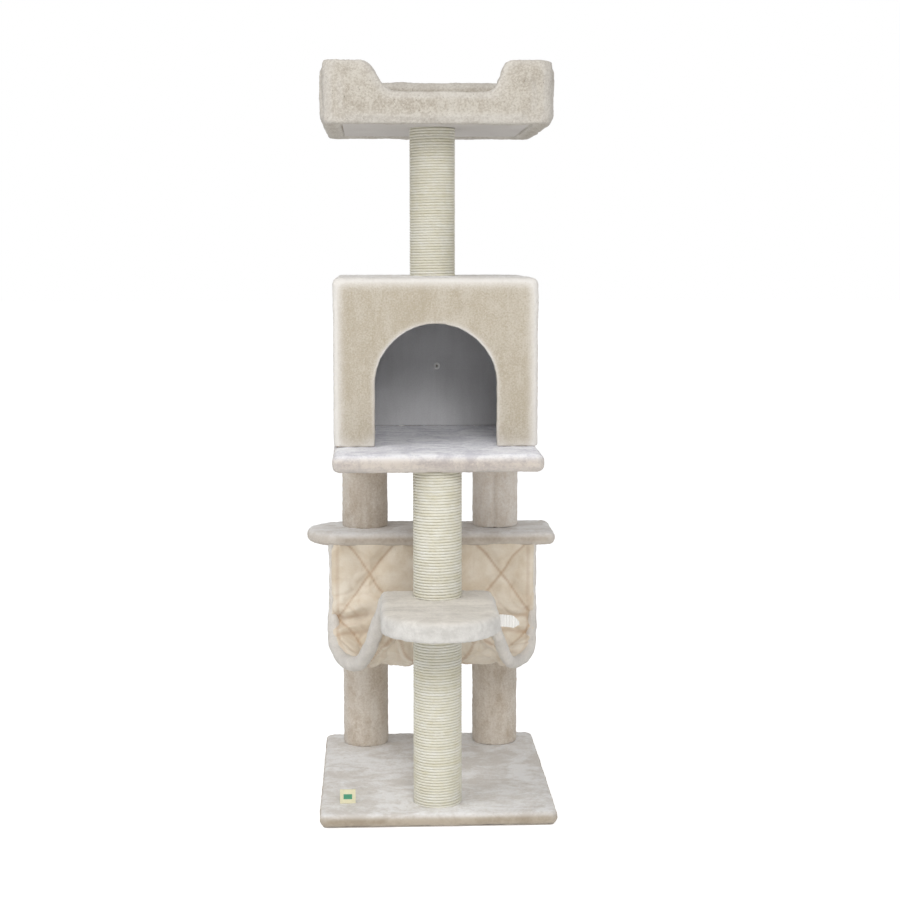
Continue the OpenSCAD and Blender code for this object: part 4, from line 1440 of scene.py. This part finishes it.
    def tag(self):
        """A short ribbed tag with a pointed end, blank."""
        low, high = corners("hammock_care_tag")
        tag = add_block("hammock_tag", low, high)
        edit(tag, "FACE")
        bpy.ops.mesh.select_all(action="SELECT")
        bpy.ops.mesh.subdivide(number_cuts=23)
        close_edit(tag)
        middle = (low + high) / 2
        width = high.x - low.x
        for vertex in tag.data.vertices:
            t = (vertex.co.x - low.x) / width
            point = max(0.0, (t - 0.72) / 0.28)
            vertex.co.z = middle.z + (vertex.co.z - middle.z) * (1 - 0.75 * point)
            vertex.co.y += 0.0008 * math.sin(t * math.tau * 7) - 0.006 * t * t
            vertex.co.z -= 0.004 * t * t
        smooth_by_angle(tag)
        return finish_piece(tag, MATERIALS["tag"], "woven_label", "hammock_care_tag")


# ---------------------------------------------------------------- structure
class TREE_OT_structure(bpy.types.Operator):
    """Finishes of the boards, tubes, plugs and fasteners."""

    bl_idname = "tree.structure"
    bl_label = "Boards, tubes and fasteners"

    def execute(self, context):
        looks = {
            "particle_board": "board", "plug_wood": "plug", "cardboard_tube": "card",
            "zinc_steel": "zinc", "white_plastic": "plastic",
        }
        for part in frame["record"]["subparts"]:
            look = looks.get(part["material_slot"])
            if look:
                dress(part["node"], MATERIALS[look])
        return {"FINISHED"}


# ---------------------------------------------------------------- stage
class TREE_OT_stage(bpy.types.Operator):
    """Camera, soft light and a plain white floor."""

    bl_idname = "tree.stage"
    bl_label = "Stage"

    def execute(self, context):
        settings = context.scene.tree_stage
        self.camera(context, settings)
        self.world(context, settings)
        middle = Vector(((CAD_BOX[0][i] + CAD_BOX[1][i]) / 2 for i in range(3)))
        self.lamp("key_light", (-2.0, -1.6, 3.3), middle, 1.8, settings.key)
        self.lamp("front_light", (0.2, -3.0, 2.1), middle, 1.0, settings.front)
        self.lamp("low_light", (0.0, -3.4, 0.95), middle, 1.0, settings.low)
        self.floor()
        context.scene.view_settings.view_transform = "Standard"
        return {"FINISHED"}

    def camera(self, context, settings):
        lens = bpy.data.cameras.new("camera")
        lens.lens = settings.lens
        lens.sensor_width = 36
        camera = bpy.data.objects.new("camera", lens)
        camera.location = settings.camera_place
        camera.rotation_euler = (math.pi / 2 - settings.camera_pitch, 0, -settings.camera_yaw)
        context.scene.collection.objects.link(camera)
        context.scene.camera = camera

    def world(self, context, settings):
        world = bpy.data.worlds.new("surroundings")
        world.use_nodes = True
        tree = world.node_tree
        background = tree.nodes["Background"]
        background.inputs["Color"].default_value = (1, 1, 1, 1)
        # the backdrop itself is plain white, brighter than the light it gives
        seen = add_node(tree, "ShaderNodeLightPath").outputs["Is Camera Ray"]
        tree.links.new(ranged(tree, seen, 0.0, 1.0, settings.sky, 1.0), background.inputs["Strength"])
        context.scene.world = world

    def lamp(self, name, place, target, size, power):
        light = bpy.data.lights.new(name, "AREA")
        light.energy = power
        light.size = size
        lamp = bpy.data.objects.new(name, light)
        lamp.location = place
        lamp.rotation_euler = (target - Vector(place)).to_track_quat("-Z", "Y").to_euler()
        bpy.context.scene.collection.objects.link(lamp)

    def floor(self):
        clear_selection()
        bpy.ops.mesh.primitive_plane_add(size=60, location=(0, 0, CAD_BOX[0][2] - 0.0003))
        floor = named(bpy.context.object, "floor")
        material, tree, shader = new_material("Floor paint")
        shader.inputs["Roughness"].default_value = 0.9
        shader.inputs["Specular IOR Level"].default_value = 0.0
        wash = noise_at(tree, object_place(tree), 3.0, 2.0, 0.5)
        paint = mixed(tree, wash, (0.93, 0.93, 0.93, 1), (0.98, 0.98, 0.98, 1))
        join_surface(tree, shader, paint, wash, 0.0001, 0.1)
        shader.inputs["Emission Color"].default_value = (1, 1, 1, 1)
        seen = add_node(tree, "ShaderNodeLightPath").outputs["Is Camera Ray"]
        tree.links.new(ranged(tree, seen, 0.0, 1.0, 0.08, 0.6), shader.inputs["Emission Strength"])
        floor.data.materials.append(material)


# ---------------------------------------------------------------- panel and registration
OPERATORS = (
    TREE_OT_stage, TREE_OT_base, TREE_OT_platforms, TREE_OT_sisal, TREE_OT_rear_posts,
    TREE_OT_house, TREE_OT_lining, TREE_OT_bed, TREE_OT_hammock, TREE_OT_structure,
)


class TREE_PT_panel(bpy.types.Panel):
    """Lists the cat tree's operators and settings."""

    bl_label = "Cat Tree"
    bl_idname = "TREE_PT_panel"
    bl_space_type = "VIEW_3D"
    bl_region_type = "UI"
    bl_category = "Cat Tree"

    def draw(self, context):
        for operator in OPERATORS:
            self.layout.operator(operator.bl_idname)
        for name, group in SETTINGS.items():
            box = self.layout.box()
            for key in group.__annotations__:
                box.prop(getattr(context.scene, name), key)


def register():
    for name, group in SETTINGS.items():
        bpy.utils.register_class(group)
        setattr(bpy.types.Scene, name, PointerProperty(type=group))
    for item in (*OPERATORS, TREE_PT_panel):
        bpy.utils.register_class(item)


def unregister():
    for item in reversed((*OPERATORS, TREE_PT_panel)):
        bpy.utils.unregister_class(item)
    for name, group in SETTINGS.items():
        delattr(bpy.types.Scene, name)
        bpy.utils.unregister_class(group)


def main():
    register()
    make_materials(bpy.context.scene)
    for operator in OPERATORS:
        group, action = operator.bl_idname.split(".")
        getattr(getattr(bpy.ops, group), action)()


if __name__ == "__main__":
    main()
